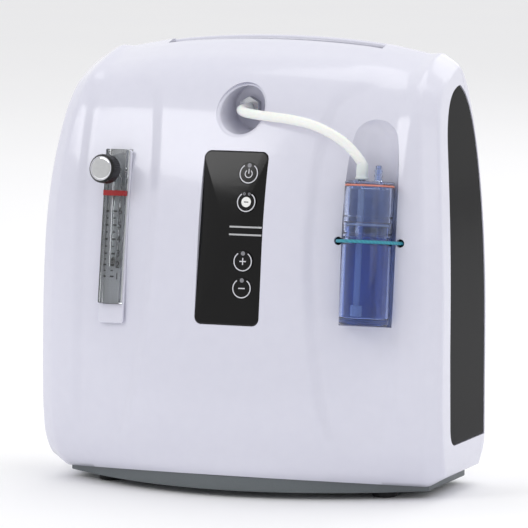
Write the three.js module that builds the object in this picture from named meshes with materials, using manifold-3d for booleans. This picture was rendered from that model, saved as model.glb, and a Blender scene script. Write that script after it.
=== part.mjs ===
// Home oxygen concentrator: a moulded housing with a flow meter, a key panel and a humidifier
// bottle on its front, and a compressor, two sieve beds and an oxygen tank inside.
// Millimetres, +Z up, front towards -Y, right-hand side of the front towards +X.
import * as THREE from 'three';
import { mergeVertices } from 'three/addons/utils/BufferGeometryUtils.js';
import Module from 'manifold-3d';

const wasm = await Module();
wasm.setup();

// ---- housing ----
const sideHalf = 144.8;          // half width at the front edges, low down
const sideTaper = 19;            // how far the front edges lean in at the top
const taperStart = 110;          // height where the lean begins
const housingTop = 316;          // height of the outline at the side edges
const toeIn = 6;                 // how far the bottom corners tuck in
const toeHeight = 40;
const cheekWidth = 11.2;         // sideways run of the bevel beside the front edge
const cheekInset = 8.6;          // how far the bevel pulls the outline in
const wall = 2.6;
const seat = 0.3;                // gap between pieces that rest on each other
const slack = 0.6;               // gap around a piece that moves or lifts out
const seamY = 26;                // plane between the front housing and the rear cover
const baseGap = 0.5;
const openingInset = 3.4;        // housing edge around the base opening
const openingTop = 19;

// ---- hand grip ----
const gripHalf = 92;
const gripSlotFront = 11;
const gripBarBottom = 303;
const wellBottom = 272;
const wellFront = 2;
const wellBack = 54;

// ---- side panels ----
const panelThick = 2.4;
const panelRecess = 3.2;
const ventLow = 70;              // lowest air slot behind the side panels
const ventHigh = 230;
const ventPitch = 26;
const ventHeight = 10;
const ventFront = -26;
const ventBack = 16;
const wide = 170;                // half width of a cutter that spans the housing

// ---- key panel ----
const fasciaWidth = 49;
const fasciaHeight = 123;
const fasciaCorner = 5;
const fasciaThick = 2;
const fasciaX = 1.6;
const fasciaZ = 186;
const keyRadius = 7.4;
const keyTravel = 0.6;
const keyX = 12.4;
const keyHeights = { power_key: 232.3, timer_key: 212.2, plus_key: 170.1, minus_key: 150.9 };
const boardDepth = 9;            // key board face behind the fascia

// ---- outlet port ----
const portRadius = 16.8;
const portZ = 276;
const portFloorY = -22;
const fittingHex = 14;           // across flats
const fittingX = -4;
const hexThick = 6;
const barbLength = 15;

// ---- flow meter ----
const meterX = -91.6;
const meterZ = 183;
const bezelWidth = 21;
const bezelHeight = 126;
const bezelThick = 1.8;
const meterLift = 1.6;           // bezel face in front of the chord of the curved face
const blockWidth = 17.6;
const blockHeight = 112;
const blockProud = 4.4;
const blockDeep = 7;             // depth of the block behind the front face
const blockRise = 7;            // block centre above the bezel centre
const boreRadius = 3.6;
const boreY = 1.6;               // bore axis behind the bezel face
const floatRadius = 2.9;
const floatLength = 7;
const knobRadius = 10.4;
const knobLength = 11.6;
const knobGap = 8.2;             // knob in front of the block
const hubRadius = 5;
const knobDrop = 15.4;           // knob axis below the top of the block
const stemRadius = 2.4;

// ---- humidifier bottle ----
const bottleX = 104.2;
const bottleY = -74.5;
const bottleZ = 178.8;           // middle of the bottle
const bottleTilt = 7.2;          // degrees, top leaning back
const bottleRadius = 17.8;
const cupHeight = 62.5;
const capHeight = 40;
const bottleWall = 2;
const nicheRadius = 20.2;
const nicheTop = 83;             // niche dome centre above the bottle's middle
const spoutGap = 6.2;            // each spout from the bottle's axis
const spoutHeight = 11.5;
const spoutRadius = 2.4;
const spoutBore = 1.4;
const tubeRadius = 3.5;
const tubeBore = 2.6;
const strapRadius = 1.2;
const strapRise = 8.2;           // strap above the bottle's middle
const strapHoleRadius = 3;
const strapHalf = 22.5;          // each strap hole from the bottle's axis

// ---- base and feet ----
const baseBottom = 5;
const baseFloor = 3.2;
const footHeight = 4.7;
const footRadius = 9;
const footX = 107;
const footFrontY = -43.5;
const footRearY = 26;
const footStem = 3;

// ---- compressor ----
const motorY = -22;
const motorZ = 88;
const motorRadius = 37;
const motorLength = 74;
const shaftRadius = 4;
const shaftClear = 0.08;
const crankWidth = 26;
const crankDepth = 58;
const cylinderTop = 150;
const impellerRadius = 31;
const impellerX = -78;
const plateZ = 36;
const plateThick = 2.5;
const plateHalfX = 74;
const plateHalfY = 40;
const isolatorRadius = 8;
const isolatorX = 62;
const isolatorY = 28;

// ---- cooling fan ----
const fanX = 25;
const fanY = 43;
const fanZ = 100;
const fanSize = 80;
const fanDepth = 22;
const fanBlades = 7;
const coilPasses = 4;
const coilPitch = 20;
const coilHalf = 30;             // half the height of the coil's passes
const coilReach = 26;            // straight run of a pass either side of the fan's middle
const coilTurn = 35;             // outer point of each return bend
const coilRadius = 3;
const coilY = 22;

// ---- gas side ----
const bedRadius = 21;
const bedX = -104;
const bedFrontY = -28;
const bedBackY = 16;
const bedBottom = 10;
const bedTop = 196;
const tankX = 117;
const tankY = 12;
const tankRadius = 23;
const tankBottom = 96;
const tankTop = 232;

// ---- power entry and filter, on the rear cover ----
const inletX = 108;
const inletZ = 46;
const inletWidth = 28;
const inletHeight = 22;
const inletDepth = 22;
const switchX = 74;
const switchWidth = 22;
const switchHeight = 15;
const rockerTilt = 12;           // degrees either side of its middle
const filterX = -70;
const filterZ = 205;
const filterWidth = 56;
const filterHeight = 66;
const filterDepth = 12;

// Side outline of the housing at its edges, from the bottom front corner over the top to the
// bottom rear corner. Each row is y and z at the side edge, then the extra y and z that the
// crown adds half way across the width.
const outline = [
  [-46, 9, -46, 7], [-54, 14, -40, 5], [-62.5, 30, -31.5, 2], [-66.5, 50, -28, 0],
  [-67.5, 80, -25.5, 0], [-65.4, 150, -19.4, 0], [-62.8, 198, -15.6, 0], [-57.3, 234, -12.7, 0],
  [-50.3, 259, -10.7, 0], [-43.8, 276, -9.3, 1], [-31, 294, -7.5, 4], [-17, 303, -5.5, 7.5],
  [-4, 308.5, -1, 9.3], [12, 313.6, 0, 10], [25, 315.8, 3, 10.2], [35, 310, 8, 9],
  [42, 296, 13, 6], [45, 270, 17, 2], [46, 208, 21, 0], [46, 134, 22, 0],
  [45, 70, 22, 0], [43, 26, 20, 1], [36, 12, 18, 4],
];
const edgeCurve = new THREE.CatmullRomCurve3(outline.map(([y, z]) => new THREE.Vector3(0, y, z)), false,
  'centripetal');
const crownCurve = new THREE.CatmullRomCurve3(
  outline.map(([y, z, dy, dz]) => new THREE.Vector3(0, y + dy, z + dz)), false, 'centripetal');

const smoothRise = (value) => Math.pow(Math.max(value, 0), 2.4);

// Half width of the front face at height z: upright low down, leaning in towards the top.
function halfWidth(z) {
  const lean = sideTaper * smoothRise((z - taperStart) / (housingTop - taperStart));
  const toe = toeIn * Math.pow(Math.max(toeHeight - z, 0) / toeHeight, 2);
  return sideHalf - lean - toe;
}

// Point of the front, top and rear skin: across runs -1 to 1 over the width, along runs 0 to 1
// over the outline, and inset moves it into the body.
function skinPoint(across, along, inset) {
  const crown = 1 - across * across;
  const point = edgeCurve.getPoint(along).lerp(crownCurve.getPoint(along), crown);
  const heading = edgeCurve.getTangent(along).lerp(crownCurve.getTangent(along), crown).normalize();
  const x = across * (halfWidth(point.z) - inset);
  return new THREE.Vector3(x, point.y + inset * heading.z, point.z - inset * heading.y);
}

// Point where the bevel beside the front edge meets the flat side.
function sidePoint(side, along, inset) {
  const point = edgeCurve.getPoint(along);
  const heading = edgeCurve.getTangent(along).normalize();
  const depth = inset + cheekInset;
  const x = side * (halfWidth(point.z - cheekInset * heading.y) + cheekWidth - inset);
  return new THREE.Vector3(x, point.y + depth * heading.z, point.z - depth * heading.y);
}

// Place along the outline where the edge curve passes height z, on the front or the rear.
function alongAtHeight(z, front) {
  let low = front ? 0 : 1;
  let high = 0.62;
  for (let i = 0; i < 40; i++) {
    const middle = (low + high) / 2;
    if (edgeCurve.getPoint(middle).z < z) low = middle;
    else high = middle;
  }
  return (low + high) / 2;
}

const skinHeights = [9, 18, 40, 80, 140, 195, 235, 265, 290];
const topSteps = 5;
const skinStations = [-1, -0.76, -0.5, -0.25, 0, 0.25, 0.5, 0.76, 1];

// Places along the outline: the front going up, the top, then the rear going down, so that
// the first and last pair up at the same height.
function outlinePlaces() {
  const lowest = outline[outline.length - 1][1];
  const front = skinHeights.map((z) => alongAtHeight(z, true));
  const rear = skinHeights.map((z) => alongAtHeight(Math.max(z, lowest), false));
  front[0] = 0;
  rear[0] = 1;
  rear[1] = 0.98;
  const start = front[front.length - 1];
  const end = rear[rear.length - 1];
  const top = [];
  for (let i = 1; i < topSteps; i++) top.push(start + (end - start) * i / topSteps);
  return [...front, ...top, ...rear.reverse()];
}
const places = outlinePlaces();

// Closed body of the housing's outer form, shrunk by inset.
function bodySolid(inset, drop = 0) {
  const side = (sign) => places.map((along) => sidePoint(sign, along, inset));
  const loops = skinStations.map((across) => places.map((along) => skinPoint(across, along, inset)));
  return loftSolid([side(-1), ...loops, side(1)], new THREE.Matrix4().makeTranslation(0, 0, -drop));
}

// ---- solids ----
function loftSolid(loops, matrix) {
  const count = loops[0].length;
  const positions = loops.flat().flatMap((point) => [point.x, point.y, point.z]);
  const faces = [];
  const quad = (a, b, c, d) => faces.push(a, c, b, a, d, c);
  for (let i = 0; i + 1 < loops.length; i++) {
    for (let j = 0; j < count; j++) {
      const next = (j + 1) % count;
      quad(i * count + j, i * count + next, (i + 1) * count + next, (i + 1) * count + j);
    }
  }
  const last = (loops.length - 1) * count;
  for (let j = 0; j + 1 < count / 2; j++) {
    const mirror = count - 1 - j;
    if (j + 1 === mirror) break;
    const ends = [j, j + 1, mirror - 1, mirror];
    if (ends[1] === ends[2]) {
      faces.push(ends[0], ends[1], ends[3]);
      faces.push(last + ends[0], last + ends[3], last + ends[1]);
    } else {
      quad(ends[0], ends[3], ends[2], ends[1]);
      quad(last + ends[0], last + ends[1], last + ends[2], last + ends[3]);
    }
  }
  const geometry = new THREE.BufferGeometry();
  geometry.setAttribute('position', new THREE.Float32BufferAttribute(positions, 3));
  geometry.setIndex(faces);
  return toSolid(geometry, matrix);
}

function toSolid(geometry, matrix = null) {
  const bare = geometry.clone();
  bare.deleteAttribute('normal');
  bare.deleteAttribute('uv');
  if (matrix) bare.applyMatrix4(matrix);
  const merged = mergeVertices(bare, 1e-4);
  return new wasm.Manifold(new wasm.Mesh({
    numProp: 3,
    vertProperties: new Float32Array(merged.attributes.position.array),
    triVerts: new Uint32Array(merged.index.array),
  }));
}

function toGeometry(solid) {
  const mesh = solid.getMesh();
  const geometry = new THREE.BufferGeometry();
  geometry.setAttribute('position', new THREE.BufferAttribute(new Float32Array(mesh.vertProperties), 3));
  geometry.setIndex(new THREE.BufferAttribute(new Uint32Array(mesh.triVerts), 1));
  const flat = geometry.toNonIndexed();
  flat.computeVertexNormals();
  return flat;
}

const joinAll = (solids) => solids.reduce((sum, solid) => sum.add(solid));
const cutAll = (solid, cuts) => cuts.reduce((rest, cut) => rest.subtract(cut), solid);

// Box between two corners, in a frame.
function boxBetween(low, high, frame = null) {
  const size = high.map((value, i) => value - low[i]);
  const geometry = new THREE.BoxGeometry(...size);
  geometry.translate(...low.map((value, i) => value + size[i] / 2));
  return toSolid(geometry, frame);
}

// Round bar from one end to the other.
function bar(radius, from, to, sides = 24, frame = null, endRadius = radius) {
  const start = new THREE.Vector3(...from);
  const end = new THREE.Vector3(...to);
  const run = end.clone().sub(start);
  const geometry = new THREE.CylinderGeometry(endRadius, radius, run.length(), sides);
  geometry.translate(0, run.length() / 2, 0);
  const turn = new THREE.Quaternion().setFromUnitVectors(new THREE.Vector3(0, 1, 0),
    run.clone().normalize());
  geometry.applyQuaternion(turn);
  geometry.translate(start.x, start.y, start.z);
  return toSolid(geometry, frame);
}

// Turned piece about the local Z axis from radius, height pairs.
function turned(profile, sides, frame = null) {
  const points = profile.map(([radius, height]) => new THREE.Vector2(radius, height));
  const geometry = new THREE.LatheGeometry(points, sides);
  geometry.rotateX(Math.PI / 2);
  return toSolid(geometry, frame);
}

// Closed ring profile turned about the local Z axis.
const ringProfile = (inner, outer, low, high) => [[inner, low], [outer, low], [outer, high],
  [inner, high], [inner, low]];

function roundedRectangle(width, height, corner) {
  const x = width / 2;
  const z = height / 2;
  const shape = new THREE.Shape();
  shape.moveTo(-x + corner, -z);
  shape.lineTo(x - corner, -z);
  shape.absarc(x - corner, -z + corner, corner, -Math.PI / 2, 0);
  shape.lineTo(x, z - corner);
  shape.absarc(x - corner, z - corner, corner, 0, Math.PI / 2);
  shape.lineTo(-x + corner, z);
  shape.absarc(-x + corner, z - corner, corner, Math.PI / 2, Math.PI);
  shape.lineTo(-x, -z + corner);
  shape.absarc(-x + corner, -z + corner, corner, Math.PI, Math.PI * 1.5);
  return shape;
}

// Plate with its shape in the local XZ plane, between two depths along local Y.
function plate(shape, fromY, toY, frame = null, segments = 4) {
  const geometry = new THREE.ExtrudeGeometry(shape,
    { depth: toY - fromY, bevelEnabled: false, curveSegments: segments });
  geometry.rotateX(Math.PI / 2);
  geometry.translate(0, toY, 0);
  return toSolid(geometry, frame);
}

// ---- places on the front ----
function frontPoint(x, z) {
  const across = x / halfWidth(z);
  return skinPoint(across, alongAtHeight(z, true), 0);
}

// Frame on the front face, on the chord between two points of it above and below: local X to
// the right, local Y into the body, local Z up the face.
function frontFrame(x, z, reach) {
  const up = frontPoint(x, z + reach).sub(frontPoint(x, z - reach)).normalize();
  const right = frontPoint(x + reach / 4, z).sub(frontPoint(x - reach / 4, z)).normalize();
  const inward = new THREE.Vector3().crossVectors(up, right).normalize();
  const trueRight = new THREE.Vector3().crossVectors(inward, up);
  const frame = new THREE.Matrix4().makeBasis(trueRight, inward, up);
  frame.setPosition(frontPoint(x, z + reach).add(frontPoint(x, z - reach)).multiplyScalar(0.5));
  return frame;
}

const movedIn = (frame, x, y, z) => frame.clone().multiply(new THREE.Matrix4().makeTranslation(x, y, z));

const outer = bodySolid(0);
const inner = bodySolid(wall);
const conformal = (prism, from, to) => prism.intersect(bodySolid(from)).subtract(bodySolid(to));

const concentrator = new THREE.Group();

function addPart(name, solid, colour, roughness, metalness, extra = {}) {
  const material = new THREE.MeshStandardMaterial({ color: colour, roughness, metalness, ...extra });
  const mesh = new THREE.Mesh(toGeometry(solid), material);
  mesh.name = name;
  concentrator.add(mesh);
  return mesh;
}

// ---- frames of the three front assemblies ----
const meterFrame = movedIn(frontFrame(meterX, meterZ, bezelHeight / 2), 0, -meterLift, 0);

const bottleFrame = new THREE.Matrix4().makeRotationX(-THREE.MathUtils.degToRad(bottleTilt));
bottleFrame.setPosition(bottleX, bottleY, bottleZ);

const bottleHalf = (cupHeight + capHeight) / 2;
const nicheFloor = -bottleHalf - slack;

// ---- housing cuts and pads shared by the shells ----
function nicheShape(radius, floor) {
  const tube = bar(radius, [0, 0, floor], [0, 0, nicheTop], 28, bottleFrame);
  const mouth = boxBetween([-radius, -60, floor], [radius, 0, nicheTop], bottleFrame);
  const dome = toSolid(new THREE.SphereGeometry(radius, 28, 8), movedIn(bottleFrame, 0, 0, nicheTop));
  return joinAll([tube, dome, mouth]);
}

const meterWindow = [blockWidth / 2 + seat, blockHeight / 2 + seat];
const meterPocket = plate(roundedRectangle(bezelWidth + 2 * seat, bezelHeight + 2 * seat, 2),
  -30, bezelThick, meterFrame);
const meterHole = boxBetween(
  [-meterWindow[0], -30, blockRise - meterWindow[1]], [meterWindow[0], 20, blockRise + meterWindow[1]],
  meterFrame);
const meterPad = boxBetween(
  [-bezelWidth / 2 - wall, -30, -bezelHeight / 2 - wall],
  [bezelWidth / 2 + wall, bezelThick + wall, bezelHeight / 2 + wall], meterFrame);

const fasciaFrame = new THREE.Matrix4().setPosition(fasciaX, 0, fasciaZ);
const fasciaPrism = (grow) => plate(
  roundedRectangle(fasciaWidth + 2 * grow, fasciaHeight + 2 * grow, fasciaCorner + grow), -140, -20,
    fasciaFrame);
const boardWindow = boxBetween([keyX - 10, -140, keyHeights.minus_key - 14],
  [keyX + 10, -20, keyHeights.power_key + 12]);

const portCup = (radius, depthY) => bar(radius, [0, -140, portZ], [0, depthY, portZ], 28);
const strapFrame = movedIn(bottleFrame, 0, 0, strapRise);
const strapHoles = [-1, 1].map((side) => bar(strapHoleRadius, [side * strapHalf, -30, 0],
  [side * strapHalf, 30, 0], 16, strapFrame));

// Outline of the side panel in Y and Z, grown all round.
function drawPanel(grow) {
  const shape = new THREE.Shape();
  const low = 38 - grow;
  shape.moveTo(-30, low);
  shape.lineTo(33 + grow, low);
  shape.lineTo(34 + grow, 215);
  shape.bezierCurveTo(34 + grow, 262, 35 + grow, 284 + grow, 18, 293 + grow);
  shape.bezierCurveTo(-4, 292 + grow, -20 - grow, 278, -27 - grow, 252);
  shape.bezierCurveTo(-36 - grow, 218, -42 - grow, 160, -42 - grow, 100);
  shape.lineTo(-41 - grow, 50);
  shape.quadraticCurveTo(-40 - grow, low, -30, low);
  return shape;
}

// Prism of the side panel's outline, reaching out from x = 100 on one side.
function panelPrism(side, grow) {
  const geometry = new THREE.ExtrudeGeometry(drawPanel(grow),
    { depth: 80, bevelEnabled: false, curveSegments: 8 });
  geometry.rotateY(Math.PI / 2);
  geometry.rotateX(Math.PI / 2);
  geometry.translate(side > 0 ? 100 : -180, 0, 0);
  return toSolid(geometry);
}

function basePlan(shrink) {
  const shape = new THREE.Shape();
  const half = 140 - shrink;
  const front = 41 - shrink;
  const rearEdge = 36 - shrink;
  shape.moveTo(-half, -front);
  shape.quadraticCurveTo(0, -front - 100, half, -front);
  shape.lineTo(half, rearEdge);
  shape.quadraticCurveTo(0, rearEdge + 46, -half, rearEdge);
  shape.lineTo(-half, -front);
  return shape;
}
function basePrism(shrink, low, high) {
  const geometry = new THREE.ExtrudeGeometry(basePlan(shrink),
    { depth: high - low, bevelEnabled: false, curveSegments: 12 });
  geometry.translate(0, 0, low);
  return toSolid(geometry);
}
// ---- shells ----
const shell = outer.subtract(inner).subtract(basePrism(openingInset, -10, openingTop));
const nichePad = nicheShape(nicheRadius + wall, nicheFloor - wall);
const sidePads = [-1, 1].map((side) => panelPrism(side, wall).subtract(bodySolid(panelRecess + wall)));
const pads = joinAll([meterPad, nichePad, portCup(portRadius + wall, portFloorY + wall),
  fasciaPrism(wall).subtract(bodySolid(fasciaThick + seat + wall)), ...sidePads]).intersect(outer);
const sideRecesses = [-1, 1].map((side) => panelPrism(side, seat).subtract(bodySolid(panelRecess)));
const sideVents = [];
for (let z = ventLow; z <= ventHigh; z += ventPitch) {
  sideVents.push(boxBetween([-wide, ventFront, z], [wide, ventBack, z + ventHeight]));
}

const gripSlot = boxBetween([-gripHalf + 8, gripSlotFront, 290], [gripHalf - 8, seamY, 340]);
const gripZone = boxBetween([-gripHalf - 4, seamY - 1, gripBarBottom], [gripHalf + 4, 70, 340]);
const frontHalf = boxBetween([-200, -200, -20], [200, seamY - seat / 2, 400]);
const rearHalf = boxBetween([-200, seamY + seat / 2, -20], [200, 200, 400]);

const fittingHole = bar(fittingHex / 2 - 1.4, [fittingX, portFloorY - 5, portZ],
  [fittingX, portFloorY + 10, portZ], 24);
const body = cutAll(shell.add(pads), [
  nicheShape(nicheRadius, nicheFloor),
  meterPocket, meterHole,
  fasciaPrism(seat).subtract(bodySolid(fasciaThick + seat)), boardWindow,
  portCup(portRadius, portFloorY), fittingHole,
  ...strapHoles, ...sideRecesses, ...sideVents,
]);
addPart('front_housing', body.intersect(frontHalf).subtract(gripSlot), 0xe1e1ee, 0.22, 0);

const filterFrame = new THREE.Matrix4().setPosition(filterX, 0, filterZ);
const filterPrism = (grow) => plate(
  roundedRectangle(filterWidth + 2 * grow, filterHeight + 2 * grow, 5), 30, 100, filterFrame);
const rearOpening = (x, width, height) => boxBetween(
  [x - width / 2, seamY, inletZ - height / 2], [x + width / 2, 100, inletZ + height / 2]);
const exhaustSlots = [];
for (let i = 0; i < 7; i++) {
  const z = fanZ - 33 + i * 11;
  exhaustSlots.push(boxBetween([fanX - fanSize / 2 + 6, seamY, z - 2.5],
    [fanX + fanSize / 2 - 6, 100, z + 2.5]));
}
const filterPad = filterPrism(wall).intersect(outer).subtract(bodySolid(panelThick + seat + wall));
const rear = cutAll(shell.add(filterPad
  .add(sidePads[0].intersect(outer)).add(sidePads[1].intersect(outer))), [
  gripZone, filterPrism(slack).subtract(bodySolid(panelThick + seat)),
  filterPrism(-6), rearOpening(inletX, inletWidth + 2 * seat, inletHeight + 2 * seat),
  rearOpening(switchX, switchWidth + 2 * seat, switchHeight + 2 * seat),
  ...exhaustSlots, ...sideRecesses,
]);
addPart('rear_cover', rear.intersect(rearHalf), 0xd9d9e6, 0.3, 0);

// ---- hand grip ----
const gripBar = outer.intersect(boxBetween([-gripHalf - 4 + seat, seamY + seat, gripBarBottom + seat],
  [gripHalf + 4 - seat, 70, 340]));
addPart('carry_handle', gripBar, 0xe4e4f0, 0.25, 0);
const well = bodySolid(wall + 0.4)
  .intersect(boxBetween([-gripHalf, wellFront, wellBottom],
    [gripHalf, wellBack + wall, gripBarBottom - seat]))
  .subtract(boxBetween([-gripHalf + wall, wellFront + wall, wellBottom + wall],
    [gripHalf - wall, wellBack - 1, 340]));
addPart('finger_well', well, 0xc9c9d6, 0.45, 0);

// ---- side panels ----
for (const [name, side] of [['side_panel_left', -1], ['side_panel_right', 1]]) {
  const skin = panelPrism(side, 0).intersect(bodySolid(panelRecess - panelThick - seat))
    .subtract(bodySolid(panelRecess - seat));
  addPart(name, skin, 0x0b0b0d, 0.12, 0);
}

// ---- key panel ----
const keyPrism = (z, grow) => bar(keyRadius + grow, [keyX, -140, z], [keyX, -20, z], 28);
const keyHoles = Object.values(keyHeights).map((z) => keyPrism(z, seat));
const fascia = conformal(fasciaPrism(0), 0.1, fasciaThick + 0.1);
addPart('control_fascia', cutAll(fascia, keyHoles), 0x101012, 0.1, 0);

const boardFrame = frontFrame(keyX, (keyHeights.power_key + keyHeights.minus_key) / 2, 40);
const boardSag = boardDepth + 1;
const boardLocal = boardFrame.clone().invert();
for (const [name, z] of Object.entries(keyHeights)) {
  const local = frontPoint(keyX, z).applyMatrix4(boardLocal);
  const cap = conformal(keyPrism(z, 0), 0.1, fasciaThick + 0.1);
  const stem = bar(2, [local.x, local.y + 0.6, local.z],
    [local.x, boardSag - 1 - keyTravel - 0.6, local.z], 12, boardFrame);
  addPart(name, cap.add(stem), 0x141416, 0.15, 0);
}
const boardLow = -52;
const boardHigh = 52;
const board = boxBetween([-17, boardSag, boardLow], [17, boardSag + 1.6, boardHigh], boardFrame);
const tactSwitches = Object.values(keyHeights).map((z) => {
  const local = frontPoint(keyX, z).applyMatrix4(boardLocal);
  return boxBetween([local.x - 3, boardSag - 0.9, local.z - 3],
    [local.x + 3, boardSag + 0.4, local.z + 3], boardFrame);
});
const driverChip = boxBetween([-14, boardSag + 1, -8], [-4, boardSag + 3.4, 8], boardFrame);
addPart('key_board', joinAll([board, driverChip, ...tactSwitches]), 0x1f5a34, 0.5, 0);

// ---- outlet port ----
const hexShape = new THREE.Shape();
for (let i = 0; i < 6; i++) {
  const angle = Math.PI / 6 + i * Math.PI / 3;
  const reach = fittingHex / 2 / Math.cos(Math.PI / 6);
  if (i === 0) hexShape.moveTo(reach * Math.cos(angle), reach * Math.sin(angle));
  else hexShape.lineTo(reach * Math.cos(angle), reach * Math.sin(angle));
}
const portFrame = new THREE.Matrix4().setPosition(fittingX, portFloorY, portZ);
const barbTurn = new THREE.Matrix4().makeRotationX(Math.PI / 2);
const barbFrame = portFrame.clone().multiply(barbTurn);
const fittingBody = joinAll([
  plate(hexShape, -hexThick - seat, -seat, portFrame),
  bar(fittingHex / 2 - 1.8, [0, -1, 0], [0, 12, 0], 24, portFrame),
  turned([[0, hexThick - 1], [tubeBore - seat, hexThick - 1], [tubeBore - seat, barbLength],
    [tubeBore - 1.1, barbLength + 1.5],
    [0, barbLength + 1.5]], 20, barbFrame),
]);
const fittingBore = bar(spoutBore, [0, -40, 0], [0, 40, 0], 12, portFrame);
addPart('outlet_fitting', fittingBody.subtract(fittingBore), 0xb9bcc0, 0.25, 0.9);

// ---- flow meter ----
const bezel = plate(roundedRectangle(bezelWidth, bezelHeight, 2), 0, bezelThick - seat, meterFrame);
const bezelWindow = boxBetween(
  [-meterWindow[0], -5, blockRise - meterWindow[1]], [meterWindow[0], 5, blockRise + meterWindow[1]],
  meterFrame);
addPart('flow_bezel', bezel.subtract(bezelWindow), 0xe6e6ea, 0.35, 0);
const blockLow = blockRise - blockHeight / 2;
const blockHigh = blockRise + blockHeight / 2;
const valveZ = blockHigh - knobDrop;
const floatRest = -22;
const floatSeatZ = floatRest - seat;
const block = boxBetween([-blockWidth / 2, -blockProud, blockLow],
  [blockWidth / 2, blockDeep, blockHigh], meterFrame);
const blockBores = [
  bar(boreRadius, [0, boreY, floatSeatZ], [0, boreY, valveZ], 16, meterFrame),
  bar(2.2, [0, boreY, blockLow - 1], [0, boreY, floatSeatZ + 1], 16, meterFrame),
  bar(stemRadius + 0.15, [0, -blockProud - 1, valveZ], [0, 3, valveZ], 16, meterFrame),
  bar(2.2, [0, boreY, blockLow + 8], [0, blockDeep + 1, blockLow + 8], 16, meterFrame),
  bar(2.2, [0, 2, valveZ], [0, blockDeep + 1, valveZ], 16, meterFrame),
];
addPart('flow_tube_block', cutAll(block, blockBores), 0xdfe6ea, 0.05, 0,
  { transparent: true, opacity: 0.4 });
const floatFrame = movedIn(meterFrame, 0, boreY, floatRest);
const floatBall = turned([[0, 0], [1.6, 0.3], [floatRadius, 2.6], [floatRadius, 5], [1.2, floatLength],
  [0, floatLength]],
  20, floatFrame);
addPart('flow_float', floatBall, 0x0a0a0a, 0.3, 0);
const knobBack = -blockProud - knobGap;
const hubLength = knobGap - 1.2;
const stemFront = knobBack - knobLength + 4;
addPart('flow_valve_stem', bar(stemRadius, [0, stemFront, valveZ], [0, 0.5, valveZ], 16, meterFrame),
  0xc4c6c8, 0.2, 1);
const knobFrame = movedIn(meterFrame, 0, knobBack,
  valveZ).multiply(new THREE.Matrix4().makeRotationX(Math.PI / 2));
const knob = turned([[stemRadius + seat, -hubLength], [hubRadius, -hubLength], [hubRadius, 0],
  [knobRadius - 1.2, 0], [knobRadius, 1.2], [knobRadius, knobLength - 1.2],
  [knobRadius - 1.2, knobLength], [8.5, knobLength], [8.5, knobLength - 0.9], [0, knobLength - 0.9],
  [0, knobLength - 3.4],
  [stemRadius + seat, knobLength - 3.4], [stemRadius + seat, -hubLength]], 28, knobFrame);
addPart('flow_knob', knob, 0x0d0d0e, 0.25, 0);
const knobDisc = turned([[0, knobLength - 0.6], [8.2, knobLength - 0.6], [8.2, knobLength - 0.1],
  [0, knobLength - 0.1]], 28, knobFrame);
addPart('knob_disc', knobDisc, 0xe4e4e6, 0.12, 1);

// ---- humidifier bottle ----
const cupLow = -bottleHalf;
const cupHigh = cupLow + cupHeight;
const neckTop = cupHigh + 8;
const neckRadius = bottleRadius - 1.7;
const cupFloor = 5;
const inside = bottleRadius - bottleWall;
addPart('humidifier_cup', turned([[0, cupLow], [bottleRadius - 1.5, cupLow],
  [bottleRadius, cupLow + 1.5], [bottleRadius, cupHigh],
  [neckRadius, cupHigh], [neckRadius, neckTop], [neckRadius - 2, neckTop], [neckRadius - 2, cupHigh - 3],
  [inside, cupHigh - 5], [inside, cupLow + cupFloor], [0, cupLow + cupFloor]], 32, bottleFrame),
  0x2f4c96, 0.08, 0, { transparent: true, opacity: 0.6 });
const lidPlate = bottleHalf - 2.2;
const capTop = lidPlate - 1.8;
const skirtInside = neckRadius + 0.35;
const shoulder = neckTop + 2.6;
addPart('humidifier_cap', turned([[skirtInside, cupHigh + seat], [bottleRadius, cupHigh + seat],
  [bottleRadius, capTop],
  [inside - 0.8, capTop], [inside - 0.8, shoulder], [skirtInside, shoulder],
  [skirtInside, cupHigh + seat]], 32, bottleFrame),
  0x3c5aa0, 0.08, 0, { transparent: true, opacity: 0.55 });
addPart('cup_seal', turned(ringProfile(neckRadius - 1.9, neckRadius - 0.2, neckTop + seat,
  neckTop + 1.7), 24, bottleFrame), 0x1a1a1c, 0.7, 0);
addPart('lid_seal', turned(ringProfile(inside - 0.6, bottleRadius - 0.3, capTop + seat,
  lidPlate - seat), 28, bottleFrame), 0xe58f7e, 0.6, 0);
const lidDisc = turned([[0, capTop - 2], [inside - 1.2, capTop - 2], [inside - 1.2, lidPlate],
  [bottleRadius, lidPlate],
  [bottleRadius, bottleHalf - 0.6], [bottleRadius - 0.6, bottleHalf], [0, bottleHalf]], 32, bottleFrame);
const spoutProfile = [[0, -1], [spoutRadius, -1], [spoutRadius, 3], [spoutRadius + 0.7, 4],
  [spoutRadius, 7],
  [spoutRadius + 0.7, 8], [spoutRadius - 0.6, spoutHeight], [0, spoutHeight]];
const spouts = [-1, 1].map((side) => turned(spoutProfile, 12,
  movedIn(bottleFrame, side * spoutGap, 0, bottleHalf)));
const spoutBores = [-1, 1].map((side) => bar(spoutBore, [side * spoutGap, 0, capTop - 5],
  [side * spoutGap, 0, bottleHalf + spoutHeight + 1], 10, bottleFrame));
const dipSocket = bar(tubeBore + seat, [-spoutGap, 0, capTop - 4], [-spoutGap, 0, lidPlate], 14,
  bottleFrame);
addPart('humidifier_lid', cutAll(joinAll([lidDisc, ...spouts]), [...spoutBores, dipSocket]),
  0x4464aa, 0.08, 0, { transparent: true, opacity: 0.55 });
const diffuserLow = cupLow + cupFloor + 1;
const diffuserHigh = diffuserLow + 8;
const dipFrame = movedIn(bottleFrame, -spoutGap, 0, 0);
addPart('dip_tube', turned(ringProfile(spoutBore, tubeBore - 0.3, diffuserHigh - 3, lidPlate - seat),
  14, dipFrame), 0xd8e2f2, 0.1, 0);
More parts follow.
